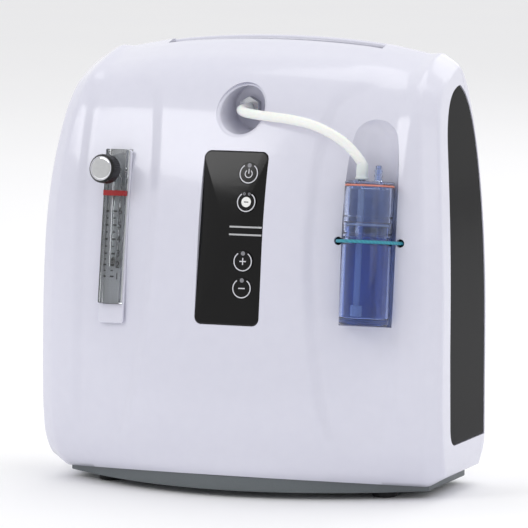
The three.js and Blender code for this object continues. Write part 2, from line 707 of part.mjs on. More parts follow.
addPart('bubble_diffuser', turned([[0, diffuserLow], [4.2, diffuserLow], [4.2, diffuserHigh],
  [tubeBore, diffuserHigh],
  [tubeBore, diffuserHigh - 3 - seat], [0, diffuserHigh - 3 - seat]], 18, dipFrame), 0xcfd2d6, 0.8, 0);

// ---- hose and strap ----
function sweep(points, radius, sides, steps, frame = null) {
  const path = new THREE.CatmullRomCurve3(points.map((point) => new THREE.Vector3(...point)), false,
    'centripetal');
  const section = new THREE.Shape();
  for (let i = 0; i < sides; i++) {
    const angle = 2 * Math.PI * i / sides;
    if (i === 0) section.moveTo(radius, 0);
    else section.lineTo(radius * Math.cos(angle), radius * Math.sin(angle));
  }
  return toSolid(new THREE.ExtrudeGeometry(section, { steps, bevelEnabled: false, extrudePath: path }),
    frame);
}
const hexFront = portFloorY - hexThick - 2 * seat;
const spoutTip = new THREE.Vector3(-spoutGap, 0, bottleHalf + spoutHeight).applyMatrix4(bottleFrame);
const spoutRoot = new THREE.Vector3(-spoutGap, 0, bottleHalf + 1).applyMatrix4(bottleFrame);
const hoseRoute = [
  [fittingX, hexFront, portZ], [fittingX, -36, portZ], [-3, -46, 275.6], [3, -54, 274.6],
  [18, -60, 273.3],
  [40.6, -65, 271.8], [59.1, -67.5, 268.7], [73.4, -69, 263.6], [84.4, -69, 257.2], [92.4, -68, 249.5],
  spoutTip.toArray(), spoutRoot.toArray(),
];
const hoseBores = [
  bar(tubeBore + 0.05, [fittingX, -20, portZ], [fittingX, portFloorY - barbLength - 3, portZ], 20),
  bar(spoutRadius + 1, [-spoutGap, 0, bottleHalf], [-spoutGap, 0, bottleHalf + spoutHeight + 0.6], 14,
  bottleFrame),
];
const cuffRadius = spoutRadius + 2;
const hoseCuff = bar(cuffRadius, [-spoutGap, 0, bottleHalf + 1],
  [-spoutGap, 0, bottleHalf + spoutHeight + 1.4], 14, bottleFrame);
addPart('outlet_hose', cutAll(sweep(hoseRoute, tubeRadius, 10, 28).add(hoseCuff), hoseBores), 0xf4f2ea,
  0.4, 0);
const strapReach = bottleRadius + strapRadius + seat + 0.1;
const strapRoute = [[-strapHalf - 4.5, 12, 0], [-strapHalf - 0.7, 4, 0], [-strapHalf, 0, 0],
  [-strapHalf + 1.6, -4.5, 0]];
const strapTurns = 8;
for (let i = 0; i <= strapTurns; i++) {
  const angle = THREE.MathUtils.degToRad(-147 + i * 128 / strapTurns);
  strapRoute.push([strapReach * Math.cos(angle), strapReach * Math.sin(angle), 0]);
}
strapRoute.push([strapHalf - 1.2, -1, 0], [strapHalf, 5, 0], [strapHalf + 0.7, 9, 0],
  [strapHalf + 4.5, 16, 0]);
const strapStops = [[-strapHalf - 4.5, 12], [strapHalf + 4.5, 16]].map(([x, y]) => bar(3.6,
  [x, y - 1, 0], [x, y + 5, 0], 12, strapFrame));
addPart('bottle_strap', joinAll([sweep(strapRoute, strapRadius, 8, 32, strapFrame), ...strapStops]),
  0x3c9aa8, 0.7, 0);

// ---- base and feet ----
const skirt = basePrism(0, baseBottom,
  16 - baseGap).subtract(bodySolid(-baseGap)).subtract(bodySolid(-baseGap, baseGap));
const lip = basePrism(openingInset + baseGap, baseBottom, openingTop - seat);
const feet = [
  ['foot_front_left', -footX, footFrontY], ['foot_front_right', footX, footFrontY],
  ['foot_rear_left', -footX, footRearY], ['foot_rear_right', footX, footRearY],
];
const footHoles = feet.map(([, x, y]) => bar(footStem + seat, [x, y, 0], [x, y, 30], 16));
const trayHollow = basePrism(6, baseBottom + baseFloor, 60);
const isolators = [[-1, -1], [1, -1], [-1, 1], [1, 1]].map(([i, j]) => [i * isolatorX,
  motorY + j * isolatorY]);
addPart('base_tray', cutAll(skirt.add(lip), [trayHollow, ...footHoles]), 0x63696c, 0.5, 0);
for (const [name, x, y] of feet) {
  const frame = new THREE.Matrix4().setPosition(x, y, 0);
  const foot = turned([[0, 0], [footRadius - 1, 0], [footRadius, 1], [footRadius, footHeight],
    [footStem, footHeight],
    [footStem, baseBottom + baseFloor + 1.4], [0, baseBottom + baseFloor + 1.4]], 20, frame);
  addPart(name, foot, 0x1a1a1b, 0.8, 0);
}

// ---- compressor ----
const floorTop = baseBottom + baseFloor;
isolators.forEach(([x, y], i) => {
  const frame = new THREE.Matrix4().setPosition(x, y, 0);
  const waist = (floorTop + plateZ) / 2;
  const isolator = turned([[0, floorTop + seat], [isolatorRadius, floorTop + seat],
    [isolatorRadius - 2.5, waist],
    [isolatorRadius, plateZ - seat], [0, plateZ - seat]], 16, frame);
  addPart(`isolator_${i + 1}`, isolator, 0x222224, 0.85, 0);
});
const plateTop = plateZ + plateThick;
const mountPlate = boxBetween([-plateHalfX, motorY - plateHalfY, plateZ],
  [plateHalfX, motorY + plateHalfY, plateTop]);
const saddle = boxBetween([-motorLength / 2 + 6, motorY - 26, plateTop - 1],
  [motorLength / 2 - 6, motorY + 26, motorZ - 20])
  .subtract(bar(motorRadius + seat, [-60, motorY, motorZ], [60, motorY, motorZ], 32));
addPart('compressor_plate', mountPlate.add(saddle), 0x9a9ea2, 0.4, 0.9);
const shaftHole = (from, to, grow) => bar(shaftRadius + grow, [from, motorY, motorZ],
  [to, motorY, motorZ], 24);
const motorHalf = motorLength / 2;
const motor = bar(motorRadius, [-motorHalf, motorY, motorZ], [motorHalf, motorY, motorZ], 32);
addPart('compressor_motor', motor.subtract(shaftHole(-60, 60, shaftClear)), 0x3a3d42, 0.4, 0.7);
const crankOuter = motorHalf + seat + crankWidth;
for (const [side, word] of [[-1, 'left'], [1, 'right']]) {
  const near = side * (motorHalf + seat);
  const far = side * crankOuter;
  const span = [Math.min(near, far), Math.max(near, far)];
  const housing = boxBetween([span[0], motorY - crankDepth / 2, plateTop + seat],
    [span[1], motorY + crankDepth / 2, motorZ + 26]);
  const cylinder = bar(12.4, [(near + far) / 2, motorY, motorZ + 20],
    [(near + far) / 2, motorY, cylinderTop - 16], 20);
  const crank = housing.add(cylinder).subtract(shaftHole(-120, 120, shaftClear));
  addPart(`crankcase_${word}`, crank, 0xa8abae, 0.45, 0.9);
  const head = [];
  const finCount = 4;
  for (let i = 0; i < finCount; i++) {
    const z = cylinderTop - 15.7 + i * 4.5;
    head.push(boxBetween([span[0] - 1 + i * 0.01, motorY - 24, z],
      [span[1] + 1 - i * 0.01, motorY + 24, z + 2.4]));
  }
  head.push(boxBetween([span[0] + 4, motorY - 14, cylinderTop - 15.7 + 1],
    [span[1] - 4, motorY + 14, cylinderTop + 6]));
  addPart(`cylinder_head_${word}`, joinAll(head), 0xb4b7ba, 0.4, 0.9);
}
const shaftRight = crankOuter + 2;
addPart('motor_shaft', shaftHole(impellerX - 3, shaftRight, 0), 0xc8cacc, 0.2, 1);
const impellerTurn = new THREE.Matrix4().makeTranslation(impellerX, motorY,
  motorZ).multiply(new THREE.Matrix4().makeRotationY(Math.PI / 2));
const impellerBlades = [];
const impellerBladeCount = 8;
for (let i = 0; i < impellerBladeCount; i++) {
  const spin = 2 * Math.PI * i / impellerBladeCount;
  const turn = impellerTurn.clone().multiply(new THREE.Matrix4().makeRotationZ(spin));
  impellerBlades.push(boxBetween([8, -1, 0.5], [impellerRadius - 1, 1, 11], turn));
}
const impellerDisc = turned([[0, 0], [impellerRadius, 0], [impellerRadius, 2], [10, 2], [9, 12],
  [0, 12]], 28, impellerTurn);
const impeller = joinAll([impellerDisc, ...impellerBlades]).subtract(shaftHole(-120, 0, seat));
addPart('compressor_fan', impeller, 0x2c2f34, 0.5, 0);

// ---- cooling fan ----
const fanFrame = new THREE.Matrix4().makeTranslation(fanX, fanY,
  fanZ).multiply(new THREE.Matrix4().makeRotationX(Math.PI / 2));
const fanHalf = fanSize / 2;
const fanBox = boxBetween([-fanHalf, -fanHalf, -fanDepth / 2], [fanHalf, fanHalf, fanDepth / 2],
  fanFrame);
const fanBore = bar(fanHalf - 2.5, [0, 0, -fanDepth], [0, 0, fanDepth], 32, fanFrame);
const strutRing = bar(14, [0, 0, -fanDepth / 2], [0, 0, -fanDepth / 2 + 3], 24, fanFrame);
const struts = [0, 1].map((i) => boxBetween([-fanHalf + 1, -2, -fanDepth / 2],
  [fanHalf - 1, 2, -fanDepth / 2 + 2.5],
  fanFrame.clone().multiply(new THREE.Matrix4().makeRotationZ(Math.PI / 4 + i * Math.PI / 2))));
const pin = bar(2, [0, 0, -fanDepth / 2], [0, 0, fanDepth / 2 - 3], 16, fanFrame);
addPart('cooling_fan_frame', joinAll([fanBox.subtract(fanBore), strutRing, ...struts, pin]), 0x202226,
  0.5, 0);
const blades = [];
for (let i = 0; i < fanBlades; i++) {
  const turn = fanFrame.clone().multiply(new THREE.Matrix4().makeRotationZ(2 * Math.PI * i / fanBlades))
    .multiply(new THREE.Matrix4().makeRotationX(0.6));
  blades.push(boxBetween([12, -7, -0.8], [fanHalf - 5, 7, 0.8], turn));
}
const rotorHub = bar(15, [0, 0, -fanDepth / 2 + 4.5], [0, 0, fanDepth / 2 - 1.5], 24, fanFrame);
const rotorBore = bar(2 + shaftClear, [0, 0, -fanDepth], [0, 0, fanDepth / 2 - 2.5], 20, fanFrame);
addPart('cooling_fan_rotor', joinAll([rotorHub, ...blades]).subtract(rotorBore), 0x17181b, 0.4, 0);
const coilRoute = [];
for (let i = 0; i < coilPasses; i++) {
  const z = fanZ - coilHalf + i * coilPitch;
  const side = i % 2 === 0 ? 1 : -1;
  coilRoute.push([fanX - side * coilReach, coilY, z], [fanX, coilY, z],
    [fanX + side * coilReach, coilY, z]);
  if (i + 1 < coilPasses) coilRoute.push([fanX + side * coilTurn, coilY, z + coilPitch / 2]);
}
addPart('cooling_coil', sweep(coilRoute, coilRadius, 6, 44), 0xb87648, 0.3, 1);

// ---- gas side ----
for (const [name, y] of [['sieve_bed_front', bedFrontY], ['sieve_bed_rear', bedBackY]]) {
  const frame = new THREE.Matrix4().setPosition(bedX, y, 0);
  addPart(name, turned([[0, bedBottom], [bedRadius - 3, bedBottom], [bedRadius, bedBottom + 3],
    [bedRadius, bedTop - 4],
    [bedRadius - 4, bedTop], [5, bedTop], [5, bedTop + 6], [0, bedTop + 6]], 24, frame), 0xb9bdc2, 0.35,
    0.9);
}
const manifoldLow = bedTop + 6 + seat;
const manifold = boxBetween([bedX - 16, bedFrontY - 10, manifoldLow],
  [bedX + 16, bedBackY + 8, manifoldLow + 20]);
addPart('valve_manifold', manifold, 0x2f6fb0, 0.4, 0);
const solenoidLow = manifoldLow + 20 + seat;
const solenoidY = (bedFrontY + bedBackY) / 2;
const solenoid = joinAll([boxBetween([bedX - 11, solenoidY - 14, solenoidLow],
  [bedX + 11, solenoidY + 14, solenoidLow + 18]),
  bar(4, [bedX, solenoidY, solenoidLow + 17], [bedX, solenoidY, solenoidLow + 25], 14)]);
addPart('solenoid_valve', solenoid, 0x1d1e20, 0.4, 0.2);
const tankFrame = new THREE.Matrix4().setPosition(tankX, tankY, 0);
addPart('oxygen_tank', turned([[0, tankBottom], [tankRadius - 5, tankBottom],
  [tankRadius, tankBottom + 6],
  [tankRadius, tankTop - 6], [tankRadius - 5, tankTop], [4, tankTop], [4, tankTop + 8],
  [0, tankTop + 8]], 24, tankFrame), 0xd4d8dc, 0.4, 0.3);
const boardX = 70;
const powerBoard = boxBetween([boardX, -34, 50], [boardX + 1.6, 18, 150]);
const transformer = boxBetween([boardX + 1, -20, 60], [boardX + 20, 12, 92]);
const capacitors = [-20, -4, 12].map((y) => bar(5, [boardX + 1, y, 112], [boardX + 20, y, 112], 14));
addPart('power_board', joinAll([powerBoard, transformer, ...capacitors]), 0x2b6a3c, 0.5, 0);
const muffler = turned([[0, 168], [13, 168], [15, 171], [15, 222], [13, 225], [3, 225], [3, 236],
  [0, 236]], 20,
  new THREE.Matrix4().setPosition(-14, 40, 0));
addPart('exhaust_muffler', muffler, 0x34363a, 0.7, 0);

// ---- rear: filter, inlet and switch ----
const filterCover = conformal(filterPrism(0), 0.2, panelThick + 0.1);
const filterGrille = [];
for (let i = 0; i < 5; i++) {
  const z = filterZ - 20 + i * 10;
  filterGrille.push(boxBetween([filterX - 20, 20, z - 2], [filterX + 20, 100, z + 2]));
}
addPart('filter_cover', cutAll(filterCover, filterGrille), 0xd2d2df, 0.35, 0);
const filterHold = skinPoint(filterX / halfWidth(filterZ), alongAtHeight(filterZ, false), 0).y;
addPart('intake_filter', boxBetween([filterX - filterWidth / 2 + 8, filterHold - 8 - filterDepth,
  filterZ - filterHeight / 2 + 8],
  [filterX + filterWidth / 2 - 8, filterHold - 8, filterZ + filterHeight / 2 - 8]), 0x2a2c2e, 0.95, 0);
const rearAt = (x, z) => skinPoint(x / halfWidth(z), alongAtHeight(z, false), 0).y;
const inletFace = rearAt(inletX + inletWidth / 2, inletZ) - 0.5;
const inletBody = boxBetween([inletX - inletWidth / 2, inletFace - inletDepth, inletZ - inletHeight / 2],
  [inletX + inletWidth / 2, inletFace, inletZ + inletHeight / 2]);
const inletWell = boxBetween([inletX - inletWidth / 2 + 3, inletFace - inletDepth + 5,
  inletZ - inletHeight / 2 + 3],
  [inletX + inletWidth / 2 - 3, inletFace + 1, inletZ + inletHeight / 2 - 3]);
const inletPins = [[-7, -2], [0, 3], [7, -2]].map(([x, z]) => boxBetween(
  [inletX + x - 1, inletFace - inletDepth + 4, inletZ + z - 2],
  [inletX + x + 1, inletFace - 6, inletZ + z + 2]));
addPart('mains_inlet', joinAll([inletBody.subtract(inletWell), ...inletPins]), 0x141416, 0.4, 0);
const switchFace = rearAt(switchX, inletZ) - 1.5;
const switchBody = boxBetween([switchX - switchWidth / 2, switchFace - 16, inletZ - switchHeight / 2],
  [switchX + switchWidth / 2, switchFace, inletZ + switchHeight / 2]);
const switchWell = boxBetween([switchX - switchWidth / 2 + 2, switchFace - 9,
  inletZ - switchHeight / 2 + 2],
  [switchX + switchWidth / 2 - 2, switchFace + 1, inletZ + switchHeight / 2 - 2]);
addPart('switch_frame', switchBody.subtract(switchWell), 0x141416, 0.4, 0);
const rockerHalf = switchWidth / 2 - 2.6;
const rockerShape = new THREE.Shape();
rockerShape.moveTo(-rockerHalf, -1.5);
rockerShape.lineTo(-3, -5);
rockerShape.lineTo(3, -5);
rockerShape.lineTo(rockerHalf, -1.5);
rockerShape.lineTo(rockerHalf - 0.5, 1.6);
rockerShape.lineTo(0, 0.4);
rockerShape.lineTo(-rockerHalf + 0.5, 1.6);
const rockerGeometry = new THREE.ExtrudeGeometry(rockerShape,
  { depth: switchHeight - 4 - 2 * seat, bevelEnabled: false });
rockerGeometry.translate(0, 0, -(switchHeight - 4 - 2 * seat) / 2);
const rockerFrame = new THREE.Matrix4().makeTranslation(switchX, switchFace - 1.6, inletZ)
  .multiply(new THREE.Matrix4().makeRotationZ(-THREE.MathUtils.degToRad(rockerTilt)));
addPart('power_rocker', toSolid(rockerGeometry, rockerFrame), 0x0e0e10, 0.3, 0);

// The unit stands on z = 0 with its box centred over the origin.
const box = new THREE.Box3().setFromObject(concentrator);
concentrator.position.set(-(box.min.x + box.max.x) / 2, -(box.min.y + box.max.y) / 2, 0);

export default concentrator;
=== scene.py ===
import math
import bmesh
import bpy
import numpy as np
from mathutils import Matrix, Vector


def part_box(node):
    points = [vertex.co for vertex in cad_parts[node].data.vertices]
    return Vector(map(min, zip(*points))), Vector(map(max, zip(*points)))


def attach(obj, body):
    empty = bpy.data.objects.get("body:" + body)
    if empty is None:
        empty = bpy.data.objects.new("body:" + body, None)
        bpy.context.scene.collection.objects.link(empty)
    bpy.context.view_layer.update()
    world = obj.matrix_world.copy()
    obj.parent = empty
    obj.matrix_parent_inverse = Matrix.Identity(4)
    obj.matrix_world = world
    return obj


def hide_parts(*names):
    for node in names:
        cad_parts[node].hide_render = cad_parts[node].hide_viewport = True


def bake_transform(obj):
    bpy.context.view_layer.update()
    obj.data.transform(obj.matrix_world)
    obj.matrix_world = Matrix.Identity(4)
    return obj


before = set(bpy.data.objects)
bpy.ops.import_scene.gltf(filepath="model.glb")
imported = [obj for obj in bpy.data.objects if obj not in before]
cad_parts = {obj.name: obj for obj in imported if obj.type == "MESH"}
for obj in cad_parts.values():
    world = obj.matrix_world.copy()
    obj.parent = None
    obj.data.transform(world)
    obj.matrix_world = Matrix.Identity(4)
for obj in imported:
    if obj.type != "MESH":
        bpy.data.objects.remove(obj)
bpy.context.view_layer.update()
mm = 0.001
print("frame loaded")

# housing form in millimetres, y counted from the middle of the side panels
housing = {
    "sideHalf": 144.8, "sideTaper": 19, "taperStart": 110, "top": 316, "toeIn": 6, "toeHeight": 40,
    "cheekWidth": 11.2, "cheekInset": 8.6, "wall": 2.6, "seamY": 26, "seat": 0.3,
    "outline": [  # y and z at the side edge, then what the crown adds half way across
        [-46, 9, -46, 7], [-54, 14, -40, 5], [-62.5, 30, -31.5, 2], [-66.5, 50, -28, 0],
        [-67.5, 80, -25.5, 0], [-65.4, 150, -19.4, 0], [-62.8, 198, -15.6, 0], [-57.3, 234, -12.7, 0],
        [-50.3, 259, -10.7, 0], [-43.8, 276, -9.3, 1], [-31, 294, -7.5, 4], [-17, 303, -5.5, 7.5],
        [-4, 308.5, -1, 9.3], [12, 313.6, 0, 10], [25, 315.8, 3, 10.2], [35, 310, 8, 9],
        [42, 296, 13, 6], [45, 270, 17, 2], [46, 208, 21, 0], [46, 134, 22, 0],
        [45, 70, 22, 0], [43, 26, 20, 1], [36, 12, 18, 4]],
    "channelDepth": 2.4, "channelInner": 56, "channelOuter": 128,
}
outline = np.array(housing["outline"], float)
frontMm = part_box("front_housing")
yShift = frontMm[1][1] / mm - (housing["seamY"] - housing["seat"] / 2)


def curveThrough(points, t):
    # centripetal Catmull-Rom curve: each stretch between two points is a cubic whose end
    # slopes come from the neighbours, weighed by the square root of their distances
    pts = np.asarray(points, float)
    last = len(pts) - 1
    place = np.clip(np.asarray(t, float), 0, 1) * last
    i = np.clip(np.floor(place).astype(int), 0, last - 1)
    w = (place - i)[:, None]
    padded = np.vstack([2 * pts[0] - pts[1], pts, 2 * pts[-1] - pts[-2]])
    a, b, c, d = padded[i], padded[i + 1], padded[i + 2], padded[i + 3]

    def step(p, q):
        return np.sqrt(np.linalg.norm(q - p, axis=1))[:, None]

    s0, s1, s2 = step(a, b), step(b, c), step(c, d)
    m1 = ((b - a) / s0 - (c - a) / (s0 + s1) + (c - b) / s1) * s1
    m2 = ((c - b) / s1 - (d - b) / (s1 + s2) + (d - c) / s2) * s1
    return b + m1 * w + (-3 * b + 3 * c - 2 * m1 - m2) * w ** 2 + (2 * b - 2 * c + m1 + m2) * w ** 3


def edgeAt(t):
    return curveThrough(np.c_[outline[:, 0], outline[:, 1]], t)


def crownAt(t):
    return curveThrough(np.c_[outline[:, 0] + outline[:, 2], outline[:, 1] + outline[:, 3]], t)


def smooth01(v):
    v = np.clip(v, 0, 1)
    return v * v * (3 - 2 * v)


def halfWidth(z):
    h = housing
    lean = h["sideTaper"] * np.clip((z - h["taperStart"]) / (h["top"] - h["taperStart"]), 0, None) ** 2.4
    return h["sideHalf"] - lean - h["toeIn"] * (np.clip(h["toeHeight"] - z, 0, None) / h["toeHeight"]) ** 2


def channel(x, z):
    # depth of the shallow upright channel on each side of the key panel: it starts at a crease
    # that bows outwards above and below, and fades out towards the edge, the top and the foot
    inner = housing["channelInner"] + 20 * ((z - 190) / 150) ** 2
    side = np.abs(x)
    width = 8 + 42 * smooth01((z - 280) / 30)
    across = smooth01((side - inner) / width) * smooth01((housing["channelOuter"] - side) / 12)
    return housing["channelDepth"] * across * smooth01((z - 30) / 26)


def skin(across, along, inset=0, relief=True):
    # the edge outline and the crowned outline blended by one minus across squared, moved
    # inwards along the outline's own normal, and spread to the half width at that height
    crown = (1 - across ** 2)[:, None]
    flat = edgeAt(along) * (1 - crown) + crownAt(along) * crown
    ahead = edgeAt(along + 1e-4) * (1 - crown) + crownAt(along + 1e-4) * crown
    behind = edgeAt(along - 1e-4) * (1 - crown) + crownAt(along - 1e-4) * crown
    heading = ahead - behind
    heading /= np.linalg.norm(heading, axis=1)[:, None]
    x = across * (halfWidth(flat[:, 1]) - inset)
    depth = inset + (channel(x, flat[:, 1]) * smooth01((0.74 - along) / 0.12) if relief else 0)
    return np.c_[x, flat[:, 0] + depth * heading[:, 1], flat[:, 1] - depth * heading[:, 0]]


def alongAt(z, front=True):
    # place along the outline at height z, found by halving
    z = np.asarray(z, float)
    low = np.zeros(z.shape) if front else np.ones(z.shape)
    high = np.full(z.shape, 0.62)
    for _ in range(40):
        middle = (low + high) / 2
        under = edgeAt(middle)[:, 1] < z
        low, high = np.where(under, middle, low), np.where(under, high, middle)
    return (low + high) / 2


def frontY(x, z, relief=True):
    x, z = np.broadcast_arrays(np.asarray(x, float), np.asarray(z, float))
    flatZ = z.ravel()
    along = alongAt(flatZ)
    return skin(x.ravel() / halfWidth(flatZ), along, relief=relief)[:, 1].reshape(x.shape)


def rearY(x, z):
    x, z = np.broadcast_arrays(np.asarray(x, float), np.asarray(z, float))
    along = alongAt(z.ravel(), False)
    return skin(x.ravel() / halfWidth(z.ravel()), along)[:, 1].reshape(x.shape)


def makeObject(name, points, faces, smoothAngle=35):
    mesh = bpy.data.meshes.new(name)
    points = np.asarray(points, float) + [0, yShift, 0]
    mesh.from_pydata((points * mm).tolist(), [], [list(f) for f in faces])
    mesh.validate()
    mesh.update()
    obj = bpy.data.objects.new(name, mesh)
    bpy.context.scene.collection.objects.link(obj)
    shade(obj, smoothAngle)
    return obj


def shade(obj, angle):
    obj.data.polygons.foreach_set("use_smooth", [True] * len(obj.data.polygons))
    obj.data.set_sharp_from_angle(angle=math.radians(angle))


def gridFaces(rows, columns, closeRows=False, closeColumns=False):
    i = np.arange(rows if closeRows else rows - 1)
    j = np.arange(columns if closeColumns else columns - 1)
    a, b = np.meshgrid(i, j, indexing="ij")
    a, b = a.ravel(), b.ravel()
    a2, b2 = (a + 1) % rows, (b + 1) % columns
    return np.c_[a * columns + b, a2 * columns + b, a2 * columns + b2, a * columns + b2].tolist()


def loftBody(loops):
    # closed body through equal loops, its two ends closed by strips between mirrored points
    count = len(loops[0])
    faces = gridFaces(len(loops), count, closeColumns=True)
    last = (len(loops) - 1) * count
    for j in range(count // 2 - 1):
        strip = [j, j + 1, count - 2 - j, count - 1 - j]
        faces.append(strip)
        faces.append([last + k for k in reversed(strip)])
    return np.vstack(loops), faces


def capped(rings):
    # closed body through equal closed rings, its first and last ring filled in
    count = len(rings[0])
    last = (len(rings) - 1) * count
    faces = gridFaces(len(rings), count, closeColumns=True)
    faces += [list(range(count)), list(range(last, last + count))]
    return np.vstack(rings), faces


def facingOut(obj):
    bm = bmesh.new()
    bm.from_mesh(obj.data)
    bmesh.ops.remove_doubles(bm, verts=bm.verts, dist=1e-6)
    bmesh.ops.recalc_face_normals(bm, faces=bm.faces)
    bm.to_mesh(obj.data)
    bm.free()
    return obj


def inFrame(points, matrix):
    points = np.asarray(points, float)
    return points @ matrix[:3, :3].T + matrix[:3, 3]


def turned(name, profile, sides, matrix, smoothAngle=35):
    # radius and height pairs carried round the local z axis
    profile = np.asarray(profile, float)
    angle = np.linspace(0, 2 * np.pi, sides, endpoint=False)
    radius, height = profile[:, 0][:, None], profile[:, 1][:, None]
    points = np.stack([radius * np.cos(angle), radius * np.sin(angle), height + 0 * angle], axis=-1)
    closed = profile[0, 0] > 1e-6
    obj = makeObject(name, inFrame(points.reshape(-1, 3), matrix),
                     gridFaces(len(profile), sides, closed, True), smoothAngle)
    facingOut(obj)
    shade(obj, smoothAngle)
    return obj


def rounded(profile, radius=0.5, steps=3, closed=False):
    # the same outline with each inner corner replaced by a short arc-like bend
    pts = np.asarray(profile, float)
    result = []
    for i, p in enumerate(pts):
        if not closed and i in (0, len(pts) - 1):
            result.append(p)
            continue
        before, after = pts[i - 1], pts[(i + 1) % len(pts)]
        r = min(radius, np.linalg.norm(before - p) * 0.45, np.linalg.norm(after - p) * 0.45)
        start = p + (before - p) / max(np.linalg.norm(before - p), 1e-9) * r
        end = p + (after - p) / max(np.linalg.norm(after - p), 1e-9) * r
        w = np.linspace(0, 1, steps + 1)[:, None]
        result.extend((start * (1 - w) ** 2 + 2 * p * w * (1 - w) + end * w ** 2).tolist())
    return np.array([list(p) for p in result])


def boxCutter(low, high, matrix=None):
    low, high = np.array(low, float), np.array(high, float)
    corners = np.array([[x, y, z] for x in (0, 1) for y in (0, 1) for z in (0, 1)])
    points = low + corners * (high - low)
    faces = [[0, 1, 3, 2], [4, 6, 7, 5], [0, 4, 5, 1], [2, 3, 7, 6], [0, 2, 6, 4], [1, 5, 7, 3]]
    return makeObject("cutter", points if matrix is None else inFrame(points, matrix), faces)


def prismCutter(shape, low, high, axis, matrix=None):
    # a flat outline carried straight along one axis
    shape = np.asarray(shape, float)
    other = [k for k in range(3) if k != axis]
    rings = []
    for depth in (low, high):
        ring = np.zeros((len(shape), 3))
        ring[:, other[0]], ring[:, other[1]], ring[:, axis] = shape[:, 0], shape[:, 1], depth
        rings.append(ring)
    count = len(shape)
    faces = gridFaces(2, count, closeColumns=True) + [list(range(count)),
                                                      list(range(2 * count - 1, count - 1, -1))]
    points = np.vstack(rings)
    return facingOut(makeObject("cutter", points if matrix is None else inFrame(points, matrix), faces))


def circle(radius, sides, centre=(0, 0)):
    angle = np.linspace(0, 2 * np.pi, sides, endpoint=False)
    return np.c_[centre[0] + radius * np.cos(angle), centre[1] + radius * np.sin(angle)]


def roundedRect(width, height, corner, centre=(0, 0), steps=8):
    quarter = np.linspace(0, np.pi / 2, steps)
    parts = []
    for k, (sx, sz) in enumerate([(1, 1), (-1, 1), (-1, -1), (1, -1)]):
        angle = quarter + k * np.pi / 2
        parts.append(np.c_[sx * (width / 2 - corner) + corner * np.cos(angle),
                           sz * (height / 2 - corner) + corner * np.sin(angle)])
    return np.vstack(parts) + np.array(centre)


def combine(obj, cutters, operation="DIFFERENCE"):
    for cutter in cutters:
        mod = obj.modifiers.new("cut", "BOOLEAN")
        mod.operation, mod.object, mod.solver = operation, cutter, "MANIFOLD"
        bpy.context.view_layer.update()
        result = bpy.data.meshes.new_from_object(obj.evaluated_get(bpy.context.evaluated_depsgraph_get()))
        obj.modifiers.clear()
        if len(result.polygons) == 0:
            raise RuntimeError("a cut left nothing of " + obj.name)
        obj.data = result
    return obj


def drop(objs):
    for obj in objs:
        bpy.data.objects.remove(obj)


def copyOf(obj, name):
    twin = bpy.data.objects.new(name, obj.data.copy())
    bpy.context.scene.collection.objects.link(twin)
    return twin


# frames of the front assemblies
def basis(right, inward, up, origin):
    matrix = np.eye(4)
    matrix[:3, 0], matrix[:3, 1], matrix[:3, 2], matrix[:3, 3] = right, inward, up, origin
    return matrix


def frontPoint(x, z):
    return np.array([x, float(frontY(x, z, relief=False)), z])


def frontFrame(x, z, reach):
    up = frontPoint(x, z + reach) - frontPoint(x, z - reach)
    up /= np.linalg.norm(up)
    right = frontPoint(x + reach / 4, z) - frontPoint(x - reach / 4, z)
    inward = np.cross(up, right / np.linalg.norm(right))
    inward /= np.linalg.norm(inward)
    middle = (frontPoint(x, z + reach) + frontPoint(x, z - reach)) / 2
    return basis(np.cross(inward, up), inward, up, middle)


def moved(matrix, x, y, z):
    shift = np.eye(4)
    shift[:3, 3] = [x, y, z]
    return matrix @ shift


def turnX(degrees):
    c, s = math.cos(math.radians(degrees)), math.sin(math.radians(degrees))
    return np.array([[1, 0, 0, 0], [0, c, -s, 0], [0, s, c, 0], [0, 0, 0, 1.0]])


meter = {"x": -91.6, "z": 183, "bezelWidth": 21, "bezelHeight": 126, "bezelThick": 1.8, "lift": 1.6,
         "blockWidth": 17.6, "blockHeight": 112, "proud": 4.4, "deep": 7, "rise": 7, "knobRadius": 10.4,
         "knobLength": 11.6, "knobGap": 8.2, "knobDrop": 15.4, "boreRadius": 3.6, "boreY": 1.6}
bottle = {"x": 104.2, "y": -74.5, "z": 178.8, "tilt": 7.2, "radius": 17.8, "cupHeight": 62.5,
          "capHeight": 40,
          "wall": 2, "nicheRadius": 20.2, "nicheTop": 83, "spoutGap": 6.2, "strapRise": 8.2,
          "strapHalf": 22.5, "strapRadius": 1.2, "strapHole": 3}
fascia = {"x": 1.6, "z": 186, "width": 49, "height": 123, "corner": 5, "thick": 2, "keyX": 12.4,
          "keyRadius": 7.4,
          "keys": {"power_key": 232.3, "timer_key": 212.2, "plus_key": 170.1, "minus_key": 150.9}}
port = {"radius": 16.8, "z": 276, "floorY": -22, "fittingX": -4}
meterFrame = moved(frontFrame(meter["x"], meter["z"], meter["bezelHeight"] / 2), 0, -meter["lift"], 0)
bottleFrame = turnX(-bottle["tilt"])
bottleFrame[:3, 3] = [bottle["x"], bottle["y"], bottle["z"]]
bottleHalf = (bottle["cupHeight"] + bottle["capHeight"]) / 2
blockLow = meter["rise"] - meter["blockHeight"] / 2
blockHigh = meter["rise"] + meter["blockHeight"] / 2
valveZ = blockHigh - meter["knobDrop"]
knobBack = -meter["proud"] - meter["knobGap"]


def ringed(shape, shares):
    # copies of a closed outline drawn in towards its middle
    shape = np.asarray(shape, float)
    middle = (shape.max(0) + shape.min(0)) / 2
    return [middle + (shape - middle) * s for s in shares]


